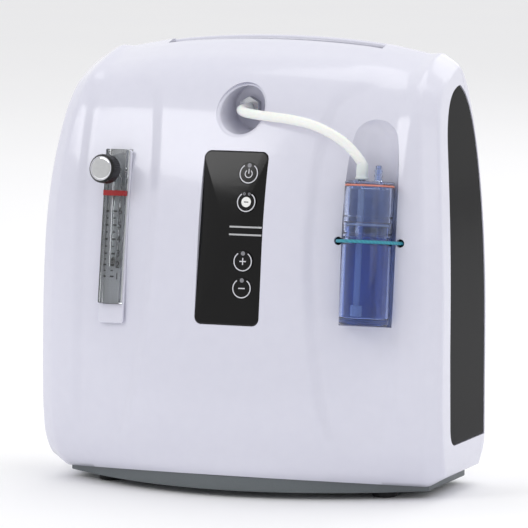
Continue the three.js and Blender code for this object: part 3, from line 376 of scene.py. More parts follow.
def slabBody(front, back):
    # closed thin body between two equal grids of points
    rows, columns = front.shape[:2]
    total = rows * columns
    faces = gridFaces(rows, columns)
    faces += [[total + k for k in reversed(f)] for f in gridFaces(rows, columns)]
    for edge in (0, rows - 1):
        for j in range(columns - 1):
            a = edge * columns + j
            faces.append([a, a + 1, total + a + 1, total + a])
    for i in range(rows - 1):
        for j in (0, columns - 1):
            a, b = i * columns + j, (i + 1) * columns + j
            faces.append([a, b, total + b, total + a])
    return np.vstack([front.reshape(-1, 3), back.reshape(-1, 3)]), faces


def onFront(x, z, lift):
    # points lifted off the front skin, along the skin's own normal in y and z
    slope = (frontY(x, z + 0.5, relief=False) - frontY(x, z - 0.5, relief=False))
    size = np.sqrt(1 + slope ** 2)
    return np.stack([x, frontY(x, z, relief=False) - lift / size, z + lift * slope / size], axis=-1)


def frontPlate(shape, lifts, shares):
    # crowned plate on the front skin: rings of its outline from the back edge round to the
    # middle of its face, each with its own share of the outline and its own lift
    return capped([onFront(r[:, 0], r[:, 1], lift) for r, lift in zip(ringed(shape, shares), lifts)])


def joined(name, bodies, smoothAngle=35):
    points, faces, start = [], [], 0
    for p, f in bodies:
        points.append(p)
        faces += [[k + start for k in face] for face in f]
        start += len(p)
    obj = facingOut(makeObject(name, np.vstack(points), faces, smoothAngle))
    shade(obj, smoothAngle)
    return obj


def tube(route, radius, sides=24, samples=200, matrix=None):
    # circle carried along a smooth route without twisting, its ends closed
    route = curveThrough(route, np.linspace(0, 1, samples))
    if matrix is not None:
        route = inFrame(route, matrix)
    heading = np.gradient(route, axis=0)
    heading /= np.linalg.norm(heading, axis=1)[:, None]
    side = np.cross(heading[0], [0, 0, 1.0])
    side /= np.linalg.norm(side)
    firstSides = []
    for t in heading:
        side = side - t * np.dot(side, t)
        side /= np.linalg.norm(side)
        firstSides.append(side)
    firstSides = np.array(firstSides)
    secondSides = np.cross(heading, firstSides)
    radius = np.broadcast_to(radius, (samples,))[:, None, None]
    angle = np.linspace(0, 2 * np.pi, sides, endpoint=False)[None, :, None]
    points = route[:, None] + radius * (np.cos(angle) * firstSides[:, None] + np.sin(angle)
                                        * secondSides[:, None])
    faces = gridFaces(samples, sides, closeColumns=True)
    faces += [list(range(sides)), list(range((samples - 1) * sides, samples * sides))]
    return points.reshape(-1, 3), faces


def alignedCopy(node, name, smoothAngle=30):
    # smooth-shaded copy of a CAD solid whose shape is right as it is
    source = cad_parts[node]
    obj = bpy.data.objects.new(name, source.data.copy())
    bpy.context.scene.collection.objects.link(obj)
    bm = bmesh.new()
    bm.from_mesh(obj.data)
    bmesh.ops.remove_doubles(bm, verts=bm.verts, dist=2e-6)
    bm.to_mesh(obj.data)
    bm.free()
    obj.data.materials.clear()
    shade(obj, smoothAngle)
    return obj


# materials
def linear(code):
    # sRGB hex to linear light
    v = np.array([int(code[i:i + 2], 16) / 255 for i in (1, 3, 5)])
    v = np.where(v <= 0.04045, v / 12.92, ((v + 0.055) / 1.055) ** 2.4)
    return (*v, 1.0)


def addNode(tree, kind, links=(), values=(), **settings):
    node = tree.nodes.new(kind)
    for key, value in settings.items():
        setattr(node, key, value)
    for key, value in dict(values).items():
        node.inputs[key].default_value = value
    for output, key in links:
        tree.links.new(output, node.inputs[key])
    return node


materials = {}


def finish(name, colour, other, grain, roughness, bump=0.05, pattern="noise", stretch=(1, 1, 1), amount=0.5,
           **sockets):
    # two close colours mixed by a pattern whose size is grain in millimetres, roughness that
    # wanders with a broader pattern, and a fine surface bump
    mat = bpy.data.materials.new(name)
    mat.use_nodes = True
    tree = mat.node_tree
    shader = tree.nodes["Principled BSDF"]
    coords = addNode(tree, "ShaderNodeTexCoord")
    place = addNode(tree, "ShaderNodeMapping", [(coords.outputs["Object"], "Vector")], {"Scale": stretch})
    vector = place.outputs["Vector"]
    scale = 1 / (grain * mm)
    if pattern == "noise":
        cells = addNode(tree, "ShaderNodeTexNoise", [(vector, "Vector")], {"Scale": scale, "Detail": 4.0})
        value = cells.outputs["Fac"]
    elif pattern == "cells":
        cells = addNode(tree, "ShaderNodeTexVoronoi", [(vector, "Vector")], {"Scale": scale})
        value = cells.outputs["Distance"]
    else:
        cells = addNode(tree, "ShaderNodeTexWave", [(vector, "Vector")],
                        {"Scale": scale / 6.28, "Distortion": 1.5, "Detail": 2.0},
                        bands_direction=pattern)
        value = cells.outputs["Fac"]
    mix = addNode(tree, "ShaderNodeMix", [(value, "Factor")], data_type="RGBA")
    mix.inputs[6].default_value, mix.inputs[7].default_value = linear(colour), linear(other)
    tree.links.new(mix.outputs[2], shader.inputs["Base Color"])
    wander = addNode(tree, "ShaderNodeTexNoise", [(coords.outputs["Object"], "Vector")],
                     {"Scale": 1 / (60 * mm), "Detail": 2.0})
    rough = addNode(tree, "ShaderNodeMapRange", [(wander.outputs["Fac"], "Value")],
                    {"To Min": roughness * (1 - amount * 0.3), "To Max": roughness * (1 + amount * 0.3)})
    tree.links.new(rough.outputs["Result"], shader.inputs["Roughness"])
    if bump > 0:
        fine = addNode(tree, "ShaderNodeBump", [(value, "Height")],
                       {"Strength": bump, "Distance": min(grain, 1) * 0.1 * mm})
        tree.links.new(fine.outputs["Normal"], shader.inputs["Normal"])
    for key, socketValue in sockets.items():
        shader.inputs[key.replace("_", " ")].default_value = socketValue
    materials[name] = mat
    return mat


# high-gloss injection-moulded ABS: cool white with a faint orange-peel ripple
finish("mouldedGlossAbs", "#DDDDEA", "#D8D8E6", 9, 0.2, 0.02, Coat_Weight=0.35, Coat_Roughness=0.06,
       IOR=1.53)
# the same ABS with a finer satin mould finish, a shade greyer at the back
finish("mouldedSatinAbs", "#D6D6E3", "#CFCFDC", 1.2, 0.42, 0.12, IOR=1.53)
# piano-black acrylic sheet: deep black, smooth, its reflections kept weak
finish("polishedBlackAcrylic", "#050507", "#09090B", 30, 0.16, 0.0, IOR=1.45, Specular_IOR_Level=0.035)
# hard-coated polyester membrane over the keys: black, slightly softer shine than the sides
finish("coatedMembrane", "#070708", "#0D0C0D", 14, 0.16, 0.01, Coat_Weight=0.12, Coat_Roughness=0.1,
       Specular_IOR_Level=0.3)
# screen-printed ink: chalky off-white
finish("whiteScreenInk", "#DADAE0", "#C8C8D0", 1.5, 0.5, 0.05)
# hot-foil silver: light and metallic with a faint brushed grain
finish("silverFoil", "#D9DADC", "#B9BABD", 2, 0.3, 0.05, stretch=(0.2, 1, 1), Metallic=0.8)
# diffused indicator lens: milky grey when unlit
finish("milkyLens", "#8C8C92", "#7A7A80", 1, 0.35, 0.02, IOR=1.49)
# lit disc behind the timer key: brighter milky lens
finish("litLens", "#E8E8E6", "#CFCFCC", 1, 0.35, 0.0, Emission_Color=(1, 1, 1, 1), Emission_Strength=0.15)
# glass-filled polypropylene base: mid grey with a fine spark-eroded texture
finish("sparkedGreyBase", "#6A7073", "#5E6467", 0.8, 0.5, 0.3)
# moulded nitrile rubber: black, dull, slightly dusty
finish("mouldedRubber", "#1B1B1D", "#242427", 2.5, 0.75, 0.25)
# epoxy-glass circuit board under green solder mask, with a faint weave
finish("greenSolderMask", "#1C5A33", "#2A6E42", 0.9, 0.35, 0.1, "X")
# nickel-plated turned brass: bright, with fine turning marks
finish("platedNickel", "#D2D4D8", "#AEB1B6", 0.4, 0.18, 0.08, stretch=(1, 0.1, 1), Metallic=1.0)
# cast acrylic block, diamond-milled: water clear with faintly grey edges
finish("milledAcrylic", "#F2F5F7", "#E4E9EC", 20, 0.04, 0.0, Transmission_Weight=0.95, IOR=1.49)
# silver-lacquered scale plate behind the tube: satin grey with faint upright hairlines
finish("brushedScalePlate", "#C4C3C8", "#B4B3B9", 0.5, 0.45, 0.05, stretch=(6, 6, 0.15), Metallic=0.1)
# moulded phenolic knob: black satin with crisp edges
finish("mouldedPhenolic", "#09090A", "#101012", 1.5, 0.3, 0.08, Specular_IOR_Level=0.3)
# polished chrome disc: mirror bright
finish("polishedChrome", "#F4F5F6", "#E6E7EA", 3, 0.05, 0.01, Metallic=1.0)
# red ink band printed across the scale block
finish("redInk", "#A8181E", "#8E1218", 2, 0.4, 0.05)
# black scale ink
finish("blackInk", "#121214", "#1C1C20", 0.8, 0.5, 0.05)
# injection-moulded blue polycarbonate: clear, tinted, glossy
finish("blueCupPolycarbonate", "#BFD2FF", "#B7CBFA", 25, 0.03, 0.0, Transmission_Weight=1.0, IOR=1.5)
# the cap and lid, in a lighter tint of the same polycarbonate
finish("blueCapPolycarbonate", "#DCE7FF", "#D3E0FB", 25, 0.04, 0.0, Transmission_Weight=1.0, IOR=1.5)
# moulded silicone seal: coral, soft, waxy
finish("coralSilicone", "#E0897A", "#D47C6C", 2, 0.5, 0.1, Subsurface_Weight=0.1)
# extruded silicone tube: ivory white, faint lengthwise flow lines, slightly see-through
finish("extrudedSilicone", "#FBFAF6", "#F4F2EC", 2.5, 0.38, 0.08, Subsurface_Weight=0.2, Coat_Weight=0.2)
# extruded polyethylene dip tube: cloudy
finish("cloudyPolyethylene", "#D8E0F0", "#C8D2E8", 2, 0.3, 0.05, Transmission_Weight=0.4)
# sintered polyethylene: off-white with a grainy porous face
finish("sinteredPlastic", "#CFD4DC", "#A8AEB8", 0.6, 0.85, 0.6, "cells")
# braided elastic cord: teal, with the slanted plait of its sleeve
finish("braidedElastic", "#3F9DB0", "#2C7F93", 0.9, 0.6, 0.5, "DIAGONAL")
# zinc-plated pressed steel: grey with a spangled bloom
finish("zincPlatedSteel", "#B8BDC2", "#9DA3A9", 6, 0.38, 0.1, "cells", Metallic=0.9)
# powder-coated motor casing: dark grey, fine orange peel
finish("powderCoatedSteel", "#3C3F45", "#34373C", 1.2, 0.45, 0.3, Metallic=0.3)
# sand-cast aluminium: pale grey and grainy
finish("sandCastAluminium", "#A4A8AC", "#8C9094", 1, 0.55, 0.5, Metallic=0.85)
# ground bearing steel: bright with hairline grinding marks
finish("groundSteel", "#C6C8CC", "#A9ABB0", 0.4, 0.2, 0.1, stretch=(0.1, 1, 1), Metallic=1.0)
# drawn copper tube: warm, slightly tarnished in patches
finish("drawnCopper", "#C98258", "#A8663F", 12, 0.3, 0.05, Metallic=1.0)
# anodised aluminium canister: satin with lengthwise drawing lines
finish("drawnAluminium", "#C2C5CA", "#AEB1B7", 0.6, 0.32, 0.1, stretch=(4, 4, 0.1), Metallic=0.9)
# blow-moulded polyethylene tank: milky white, waxy
finish("blowMouldedTank", "#E9E9E4", "#DFDFD8", 8, 0.5, 0.08, Subsurface_Weight=0.1)
# anodised valve manifold: blue satin
finish("anodisedValveBlue", "#2A4F8F", "#234580", 1, 0.35, 0.08, Metallic=0.8)
# open-cell foam filter: charcoal, porous
finish("openCellFoam", "#3A3B3E", "#1E1F21", 1.6, 0.95, 0.9, "cells")
# glass-filled nylon: black, slightly sparkling
finish("glassFilledNylon", "#17181A", "#202124", 0.9, 0.5, 0.3)
print("materials mixed")

def fit(obj, body, slot, material, *nodes):
    obj.data.materials.clear()
    obj.data.materials.append(materials[material])
    if body:
        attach(obj, body)
    if nodes:
        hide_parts(*nodes)
    return obj


# front and rear shells
shell = {"rows": 120, "columns": 132, "bevelSteps": 7, "visualWall": 4.6, "portLip": 2.4}


def formLoops(inset, rows, columns, relief):
    # upright loops round the outline, from the left flat side over the bevel and across to the
    # right; the places on a loop pair up front and rear at equal heights, closer near the top
    h = housing
    top, low, rearLow = 315.75, outline[0][1], outline[-1][1]
    share = np.sin(np.linspace(0, np.pi / 2, rows))
    front = alongAt(low + (top - low) * share)
    rear = alongAt(rearLow + (top - rearLow) * share, False)
    front[0], rear[0] = 0, 1
    places = np.r_[front, rear[::-1]]

    def atSide(side, extra):
        flat = edgeAt(places)
        heading = edgeAt(places + 1e-4) - edgeAt(places - 1e-4)
        heading /= np.linalg.norm(heading, axis=1)[:, None]
        depth = inset + h["cheekInset"] + extra
        x = side * (halfWidth(flat[:, 1] - depth * heading[:, 0]) + h["cheekWidth"] - inset)
        return np.c_[x, flat[:, 0] + depth * heading[:, 1], flat[:, 1] - depth * heading[:, 0]]

    def bend(a, b, c, w):
        return a * (1 - w) ** 2 + 2 * b * w * (1 - w) + c * w ** 2

    steps = np.linspace(0, 1, shell["bevelSteps"])
    sides = {}
    for side in (-1, 1):
        nearEdge = skin(np.full(len(places), side * 0.982), places, inset, relief)
        edge, corner = skin(np.full(len(places), side * 1.0), places, inset, relief), atSide(side, 0)
        loops = [bend(nearEdge, edge, edge + (corner - edge) * 0.2, w) for w in steps]
        loops += [bend(edge + (corner - edge) * 0.78, corner, atSide(side, 2.6), w) for w in steps]
        sides[side] = loops
    across = np.linspace(-0.975, 0.975, columns)
    middle = [skin(np.full(len(places), a), places, inset, relief) for a in across]
    return sides[-1][::-1] + middle + sides[1]


def formBody(name, inset, rows, columns, relief=False):
    points, faces = loftBody(formLoops(inset, rows, columns, relief))
    return facingOut(makeObject(name, points, faces))


outerBody = formBody("outerBody", 0, shell["rows"], shell["columns"], True)
innerBody = formBody("innerBody", shell["visualWall"], 50, 30)
print("housing form lofted")


def sideX(z):
    return halfWidth(z) + housing["cheekWidth"]


def bezier(points, count):
    p = [np.array(q, float) for q in points]
    w = np.linspace(0, 1, count, endpoint=False)[:, None]
    if len(p) == 2:
        return p[0] * (1 - w) + p[1] * w
    if len(p) == 3:
        return p[0] * (1 - w) ** 2 + 2 * p[1] * w * (1 - w) + p[2] * w ** 2
    return p[0] * (1 - w) ** 3 + 3 * p[1] * w * (1 - w) ** 2 + 3 * p[2] * w ** 2 * (1 - w) + p[3] * w ** 3


def panelShape(grow):
    low = 38 - grow
    runs = [([(-30, low), (33 + grow, low)], 16), ([(33 + grow, low), (34 + grow, 215)], 40),
            ([(34 + grow, 215), (34 + grow, 262), (35 + grow, 284 + grow), (18, 293 + grow)], 40),
            ([(18, 293 + grow), (-4, 292 + grow), (-20 - grow, 278), (-27 - grow, 252)], 30),
            ([(-27 - grow, 252), (-36 - grow, 218), (-42 - grow, 160), (-42 - grow, 100)], 40),
            ([(-42 - grow, 100), (-41 - grow, 50)], 14), ([(-41 - grow, 50), (-40 - grow, low), (-30, low)],
                                                          14)]
    return np.vstack([bezier(p, n) for p, n in runs])


def sidePlate(side, grow, insets, shares):
    # plate that follows the flat side: rings of the panel outline, each at its own inset
    rings = []
    for ring, inset in zip(ringed(panelShape(grow), shares), insets):
        rings.append(np.c_[side * (sideX(ring[:, 1]) - inset), ring[:, 0], ring[:, 1]])
    return capped(rings)


inwards = [0.97, 0.9, 0.8, 0.7, 0.6, 0.5, 0.4, 0.3, 0.2, 0.1, 0.03]
sideCuts = []
for side in (-1, 1):
    shares = inwards[::-1] + [1.0, 1.0] + inwards
    insets = [3.2] * (len(inwards) + 1) + [-12] * (len(inwards) + 1)
    points, faces = sidePlate(side, 0.3, insets, shares)
    sideCuts.append(facingOut(makeObject("sideCut", points, faces)))


def baseShape(shrink):
    half, front, rear = 140 - shrink, 41 - shrink, 36 - shrink
    runs = [([(-half, -front), (0, -front - 100), (half, -front)], 48),
            ([(half, -front), (half, rear)], 12),
            ([(half, rear), (0, rear + 46), (-half, rear)], 48), ([(-half, rear), (-half, -front)], 12)]
    return np.vstack([bezier(p, n) for p, n in runs])


def nicheBody(radius, floor, sides=72):
    # upright tube with a domed top, opened forwards by straight walls: half a circle behind
    # the axis, joined to a straight mouth in front, raised from the floor to the dome
    top = bottle["nicheTop"]
    back = np.linspace(0, np.pi, sides // 2 + 1)
    section = np.r_[np.c_[radius * np.cos(back), radius * np.sin(back)],
                    [[-radius, -30], [-radius, -60], [radius, -60], [radius, -30]]]
    rings = [np.c_[section, np.full(len(section), z)] for z in np.linspace(floor, top, 24)]
    points, faces = capped(rings)
    mouth = facingOut(makeObject("mouth", inFrame(points, bottleFrame), faces))
    turn = np.linspace(0, np.pi / 2, 18)
    domeProfile = np.c_[np.r_[0, radius * np.cos(turn[:-1]), 0],
                        np.r_[-6, radius * np.sin(turn[:-1]), radius]]
    dome = turned("dome", domeProfile, sides, moved(bottleFrame, 0, 0, top))
    combine(mouth, [dome], "UNION")
    drop([dome])
    return mouth


def portCutter(radius, lip, floorY, sides=96):
    # rings round the port's level axis: a quarter-round lip that follows the skin, then
    # straight walls back to a flat floor
    angle = np.linspace(0, 2 * np.pi, sides, endpoint=False)
    quarter = np.linspace(0, np.pi / 2, 9)
    rings = []
    lipRings = [(radius + lip * (1 - math.sin(a)), lip * (1 - math.cos(a))) for a in quarter]
    for r, d in [(radius + lip + 0.6, -9), (radius + lip + 0.05, -0.6)] + lipRings:
        x, z = r * np.cos(angle), port["z"] + r * np.sin(angle)
        rings.append(np.c_[x, frontY(x, z) + d, z])
    x, z = radius * np.cos(angle), port["z"] + radius * np.sin(angle)
    rings.append(np.c_[x, np.full(sides, floorY - 1.5), z])
    for a in quarter[1:]:
        r = radius - 1.5 * (1 - math.cos(a))
        rings.append(np.c_[r * np.cos(angle), np.full(sides, floorY - 1.5 + 1.5 * math.sin(a)),
                           port["z"] + r * np.sin(angle)])
    return facingOut(makeObject("portCut", *capped(rings)))


def frontCutter(shape, depth, out=12):
    # prism through the skin whose floor keeps an even depth below the skin
    shares = inwards[::-1] + [1.0, 1.0] + inwards
    lifts = [-depth] * (len(inwards) + 1) + [out] * (len(inwards) + 1)
    points, faces = frontPlate(shape, lifts, shares)
    return facingOut(makeObject("frontCut", points, faces))


def fasciaShape(grow):
    return roundedRect(fascia["width"] + 2 * grow, fascia["height"] + 2 * grow, fascia["corner"] + grow,
                       (fascia["x"], fascia["z"]), 10)


meterPocketShape = roundedRect(meter["bezelWidth"] + 0.6, meter["bezelHeight"] + 0.6, 2.3)
nicheFloor = -bottleHalf - 0.6
padHalf, padHigh = meter["bezelWidth"] / 2 + housing["wall"], meter["bezelHeight"] / 2 + housing["wall"]
pads = [nicheBody(bottle["nicheRadius"] + housing["wall"], nicheFloor - housing["wall"], 36),
        turned("portPad", [[0, -40], [port["radius"] + 4, -40], [port["radius"] + 4, 72], [0, 72]], 32,
               basis([1, 0, 0], [0, 0, 1], [0, 1, 0], [0, port["floorY"] + 2.6 - 72, port["z"]])),
        boxCutter([-padHalf, -30, -padHigh], [padHalf, meter["bezelThick"] + 3, padHigh], meterFrame)]
combine(innerBody, pads)
drop(pads)
windowHalf = meter["blockWidth"] / 2 + housing["seat"]
windowLow, windowHigh = blockLow - housing["seat"], blockHigh + housing["seat"]
frontCuts = [boxCutter([-220, 25.85, -40], [220, 220, 420]),
             boxCutter([-84, 11, 290], [84, 30, 340]),
             prismCutter(baseShape(3.4), -10, 19, 2),
             nicheBody(bottle["nicheRadius"], nicheFloor),
             portCutter(port["radius"], shell["portLip"], port["floorY"]),
             prismCutter(meterPocketShape, -30, meter["bezelThick"], 1, meterFrame),
             boxCutter([-windowHalf, -30, windowLow], [windowHalf, 20, windowHigh], meterFrame),
             frontCutter(fasciaShape(0.3), fascia["thick"] + 0.3),
             boxCutter([fascia["keyX"] - 10, -140, 136.9], [fascia["keyX"] + 10, -20, 244.3])]
strapFrame = moved(bottleFrame, 0, 0, bottle["strapRise"])
for side in (-1, 1):
    hole = circle(bottle["strapHole"], 40, (side * bottle["strapHalf"], 0))
    frontCuts.append(prismCutter(hole, -30, 30, 1, strapFrame))
fittingHole = circle(5.6, 32, (port["fittingX"], port["z"]))
frontCuts.append(prismCutter(fittingHole, port["floorY"] - 5, port["floorY"] + 10, 1))
frontShell = copyOf(outerBody, "front_shell")
combine(frontShell, [innerBody] + frontCuts + sideCuts)
shade(frontShell, 38)
fit(frontShell, "housing", "white_shell", "mouldedGlossAbs", "front_housing")
drop(frontCuts)
print("front shell cut:", len(frontShell.data.polygons), "faces")


# rear shell, from the same form, with its grip, filter, inlet and exhaust openings
rear = {"gripHalf": 96, "gripLow": 303, "filter": (-70, 205, 56, 66),
        "inlet": (108, 28, 22), "switch": (74, 22, 15), "inletZ": 46,
        "fan": (25, 100, 80), "slots": 7, "slotPitch": 11, "slotHeight": 5}


def onRear(x, z, lift):
    return np.stack([x, rearY(x, z) + lift, z], axis=-1)


def rearCutter(shape, depth, out=12):
    shares = inwards[::-1] + [1.0, 1.0] + inwards
    lifts = [-depth] * (len(inwards) + 1) + [out] * (len(inwards) + 1)
    rings = [onRear(r[:, 0], r[:, 1], lift) for r, lift in zip(ringed(shape, shares), lifts)]
    return facingOut(makeObject("rearCut", *capped(rings)))


def filterShape(grow):
    x, z, width, height = rear["filter"]
    return roundedRect(width + 2 * grow, height + 2 * grow, 5, (x, z), 8)


rearCuts = [boxCutter([-220, -220, -40], [220, 26.15, 420]), prismCutter(baseShape(3.4), -10, 19, 2),
            boxCutter([-rear["gripHalf"], 25, rear["gripLow"]], [rear["gripHalf"], 70, 340]),
            rearCutter(filterShape(0.6), 2.7), prismCutter(filterShape(-6), 30, 100, 1)]
for x, width, height in (rear["inlet"], rear["switch"]):
    rearCuts.append(boxCutter([x - width / 2 - 0.3, 26, rear["inletZ"] - height / 2 - 0.3],
                              [x + width / 2 + 0.3, 100, rear["inletZ"] + height / 2 + 0.3]))
fanX, fanZ, fanSize = rear["fan"]
for i in range(rear["slots"]):
    z = fanZ - 33 + i * rear["slotPitch"]
    slotShape = roundedRect(fanSize - 12, rear["slotHeight"], 2.4, (fanX, z), 8)
    rearCuts.append(prismCutter(slotShape, 27, 100, 1))
rearShell = copyOf(outerBody, "rear_shell")
combine(rearShell, [innerBody] + rearCuts + sideCuts)
shade(rearShell, 38)
drop(rearCuts)
print("rear shell cut:", len(rearShell.data.polygons), "faces")

# base: a band that follows the housing's plan, its foot edge rounded, with a lip up inside
baseRings = [(0.8, 5), (0.25, 5.2), (0, 5.8), (0, 15.5)]
count = len(baseShape(0))
bandRings = [np.c_[baseShape(drawIn), np.full(count, z)] for drawIn, z in baseRings]
baseBand = facingOut(makeObject("base_band", *capped(bandRings)))
lip = prismCutter(baseShape(3.9), 5.5, 18.7, 2)
hollow = prismCutter(baseShape(6), 8.2, 60, 2)
footPlaces = {"foot_front_left": (-107, -43.5), "foot_front_right": (107, -43.5),
              "foot_rear_left": (-107, 26), "foot_rear_right": (107, 26)}
footHoles = [prismCutter(circle(3.3, 32, place), 0, 30, 2) for place in footPlaces.values()]
combine(baseBand, [outerBody])
combine(baseBand, [lip], "UNION")
combine(baseBand, [hollow] + footHoles)
shade(baseBand, 38)
drop([lip, hollow] + footHoles + [innerBody, outerBody] + sideCuts)


# side panels: one glossy sheet each, crowned with the side, its edge rounded over
panelEdge = {"lifts": [2.9, 2.9, 1.3, 0.9, 0.68, 0.55, 0.5],
             "shares": [0.97, 1.0, 1.0, 0.9985, 0.996, 0.992, 0.985]}
for side, name in ((-1, "side_panel_left"), (1, "side_panel_right")):
    shares = inwards[::-1][:-1] + panelEdge["shares"] + inwards
    insets = [2.9] * (len(inwards) - 1) + panelEdge["lifts"] + [0.5] * len(inwards)
    points, faces = sidePlate(side, 0, insets, shares)
    panel = facingOut(makeObject(name + "_sheet", points, faces))
    shade(panel, 50)
    fit(panel, "housing", "black_gloss", "polishedBlackAcrylic", name)

# key panel and its four keys, one membrane cut round each key
membrane = {"face": -0.05, "back": -2.1, "markLift": 0.04}


def membranePlate(name, shape):
    shares = inwards[::-1][:-1] + [0.985, 1.0, 1.0, 0.9985, 0.995] + [0.985] + inwards
    face, back = membrane["face"], membrane["back"]
    bevel = [back, face - 0.5, face - 0.15, face - 0.03]
    lifts = [back] * len(inwards) + bevel + [face] * (len(inwards) + 1)
    points, faces = frontPlate(shape, lifts, shares)
    obj = facingOut(makeObject(name, points, faces))
    shade(obj, 50)
    return obj


fasciaSheet = membranePlate("key_panel_membrane", fasciaShape(0))
keyCuts = [prismCutter(circle(fascia["keyRadius"] + 0.25, 72, (fascia["keyX"], z)), -140, -20, 1)
           for z in fascia["keys"].values()]
combine(fasciaSheet, keyCuts)
drop(keyCuts)
shade(fasciaSheet, 40)
fit(fasciaSheet, "housing", "black_gloss", "coatedMembrane", "control_fascia")


def arcBand(cx, cz, inner, outer, fromDegrees, toDegrees, steps=48):
    # band between two radii, angles counted clockwise from straight up
    angle = np.radians(np.linspace(fromDegrees, toDegrees, steps))[None, :]
    r = np.linspace(inner, outer, 3)[:, None]
    return cx + r * np.sin(angle), cz + r * np.cos(angle)


def barBand(x0, x1, z0, z1, steps=8):
    x, z = np.meshgrid(np.linspace(x0, x1, steps), np.linspace(z0, z1, 3))
    return x, z


def marks(name, bands, material, body, lift=None):
    bodies = []
    for x, z in bands:
        bodies.append(slabBody(onFront(x, z, membrane["markLift"] if lift is None else lift),
                               onFront(x, z, -0.25)))
    obj = joined(name, bodies, 40)
    fit(obj, body, "white_shell", material)
    return obj


keyMarks = {"ringOuter": 7.0, "ringInner": 6.25, "gap": 34, "dotRadius": 1.55, "dotUp": 6.3}
for key, z in fascia["keys"].items():
    x = fascia["keyX"]
    keyCap = membranePlate(key + "_cap", circle(fascia["keyRadius"], 72, (x, z)))
    fit(keyCap, key, "black_gloss", "coatedMembrane", key)
    ring = [arcBand(x, z, keyMarks["ringInner"], keyMarks["ringOuter"], keyMarks["gap"],
                    360 - keyMarks["gap"], 72)]
    if key == "power_key":
        ring += [arcBand(x, z - 0.2, 2.35, 3.0, 35, 325), barBand(x - 0.33, x + 0.33, z - 0.1, z + 3.3)]
    elif key == "plus_key":
        ring += [barBand(x - 2.5, x + 2.5, z - 0.38, z + 0.38),
                 barBand(x - 0.38, x + 0.38, z + 0.39, z + 2.5),
                 barBand(x - 0.38, x + 0.38, z - 2.5, z - 0.39)]
    elif key == "minus_key":
        ring += [barBand(x - 2.5, x + 2.5, z - 0.38, z + 0.38)]
    marks(key + "_ink", ring, "whiteScreenInk", key)
    if key == "timer_key":
        marks("timer_lit_disc", [arcBand(x, z, 0.05, 3.6, 0, 359.9, 48)], "litLens", key)
        marks("timer_dash", [barBand(x - 1.7, x + 1.7, z - 0.35, z + 0.35)], "blackInk", key, 0.09)
        dots = [(x - 1.9, z + keyMarks["dotUp"] - 0.6), (x + 1.9, z + keyMarks["dotUp"] - 0.6),
                (x, z + keyMarks["dotUp"] + 1.5)]
        marks("timer_dots", [arcBand(a, b, 0.45, 1.0, 0, 359.9, 32) for a, b in dots if b < z + 7.3],
              "milkyLens", key)
    else:
        marks(key + "_lamp", [arcBand(x, z + keyMarks["dotUp"] - 0.6, 0.02, keyMarks["dotRadius"], 0, 359.9,
                                      32)], "milkyLens", key)
marks("key_panel_bars", [barBand(1, 25.6, 193.9, 195.1, 20), barBand(1, 25.6, 188.4, 189.6, 20)],
      "silverFoil", "housing")
print("key panel made")

# flow meter: white back plate, clear block, printed scale, knob with a mirror disc
plateShape = roundedRect(meter["bezelWidth"], meter["bezelHeight"], 2, steps=8)


def localPlate(shape, depths, drawIns, matrix):
    # rings of a flat outline at set depths, each drawn in by a width all round
    shape = np.asarray(shape, float)
    half = (shape.max(0) - shape.min(0)) / 2
    rings = []
    for depth, drawIn in zip(depths, drawIns):
        ring = shape * (1 - drawIn / half)
        rings.append(np.c_[ring[:, 0], np.full(len(ring), depth), ring[:, 1]])
    points, faces = capped(rings)
    return inFrame(points, matrix), faces


points, faces = localPlate(plateShape, [1.5, 0.5, 0.2, 0.05, 0], [0, 0, 0.1, 0.3, 0.6], meterFrame)
backPlate = facingOut(makeObject("meter_back_plate", points, faces))
window = boxCutter([-windowHalf, -5, windowLow], [windowHalf, 5, windowHigh], meterFrame)
combine(backPlate, [window])
drop([window])
shade(backPlate, 35)
fit(backPlate, "housing", "shade_shell", "mouldedGlossAbs", "flow_bezel")

blockCentre = (blockLow + blockHigh) / 2
blockShape = roundedRect(meter["blockWidth"], meter["blockHeight"], 0.8, steps=5)
deep, front = meter["deep"], -meter["proud"]
blockTurn = moved(meterFrame, 0, 0, blockCentre)
points, faces = localPlate(blockShape, [deep, deep - 0.5, front + 0.5, front + 0.15, front],
                           [0.5, 0, 0, 0.15, 0.5], blockTurn)
block = facingOut(makeObject("meter_block", points, faces))
boreTurn = moved(meterFrame, 0, meter["boreY"], 0)
bore = turned("bore", [[0, -22.3], [3.3, -22.3], [meter["boreRadius"] + 0.35, valveZ - 6],
                       [meter["boreRadius"] - 1, valveZ - 3], [0, valveZ - 3]], 40, boreTurn)
stemTurn = moved(meterFrame, 0, 0, valveZ) @ turnX(90)
stemBore = turned("stemBore", [[0, -3], [2.6, -3], [2.6, 20], [0, 20]], 32, stemTurn)
combine(block, [bore, stemBore])
drop([bore, stemBore])
shade(block, 35)
fit(block, "housing", "clear_acrylic", "milledAcrylic", "flow_tube_block")

scaleShape = roundedRect(meter["blockWidth"] - 0.6, meter["blockHeight"] - 0.6, 0.6)
points, faces = localPlate(scaleShape, [deep + 0.8, deep + 0.15, deep + 0.1], [0, 0, 0.1], blockTurn)
scalePlate = facingOut(makeObject("meter_scale_plate", points, faces))
fit(scalePlate, "housing", "nickel", "brushedScalePlate")


def flatBox(x0, x1, z0, z1, near, far):
    # box in the meter's own frame, from its near face to its far one
    x, z = np.meshgrid(np.linspace(x0, x1, 3), np.linspace(z0, z1, 2))

    def sheet(depth):
        flat = np.stack([x, np.full(x.shape, depth), z], -1).reshape(-1, 3)
        return inFrame(flat, meterFrame).reshape(2, 3, 3)

    return slabBody(sheet(near), sheet(far))


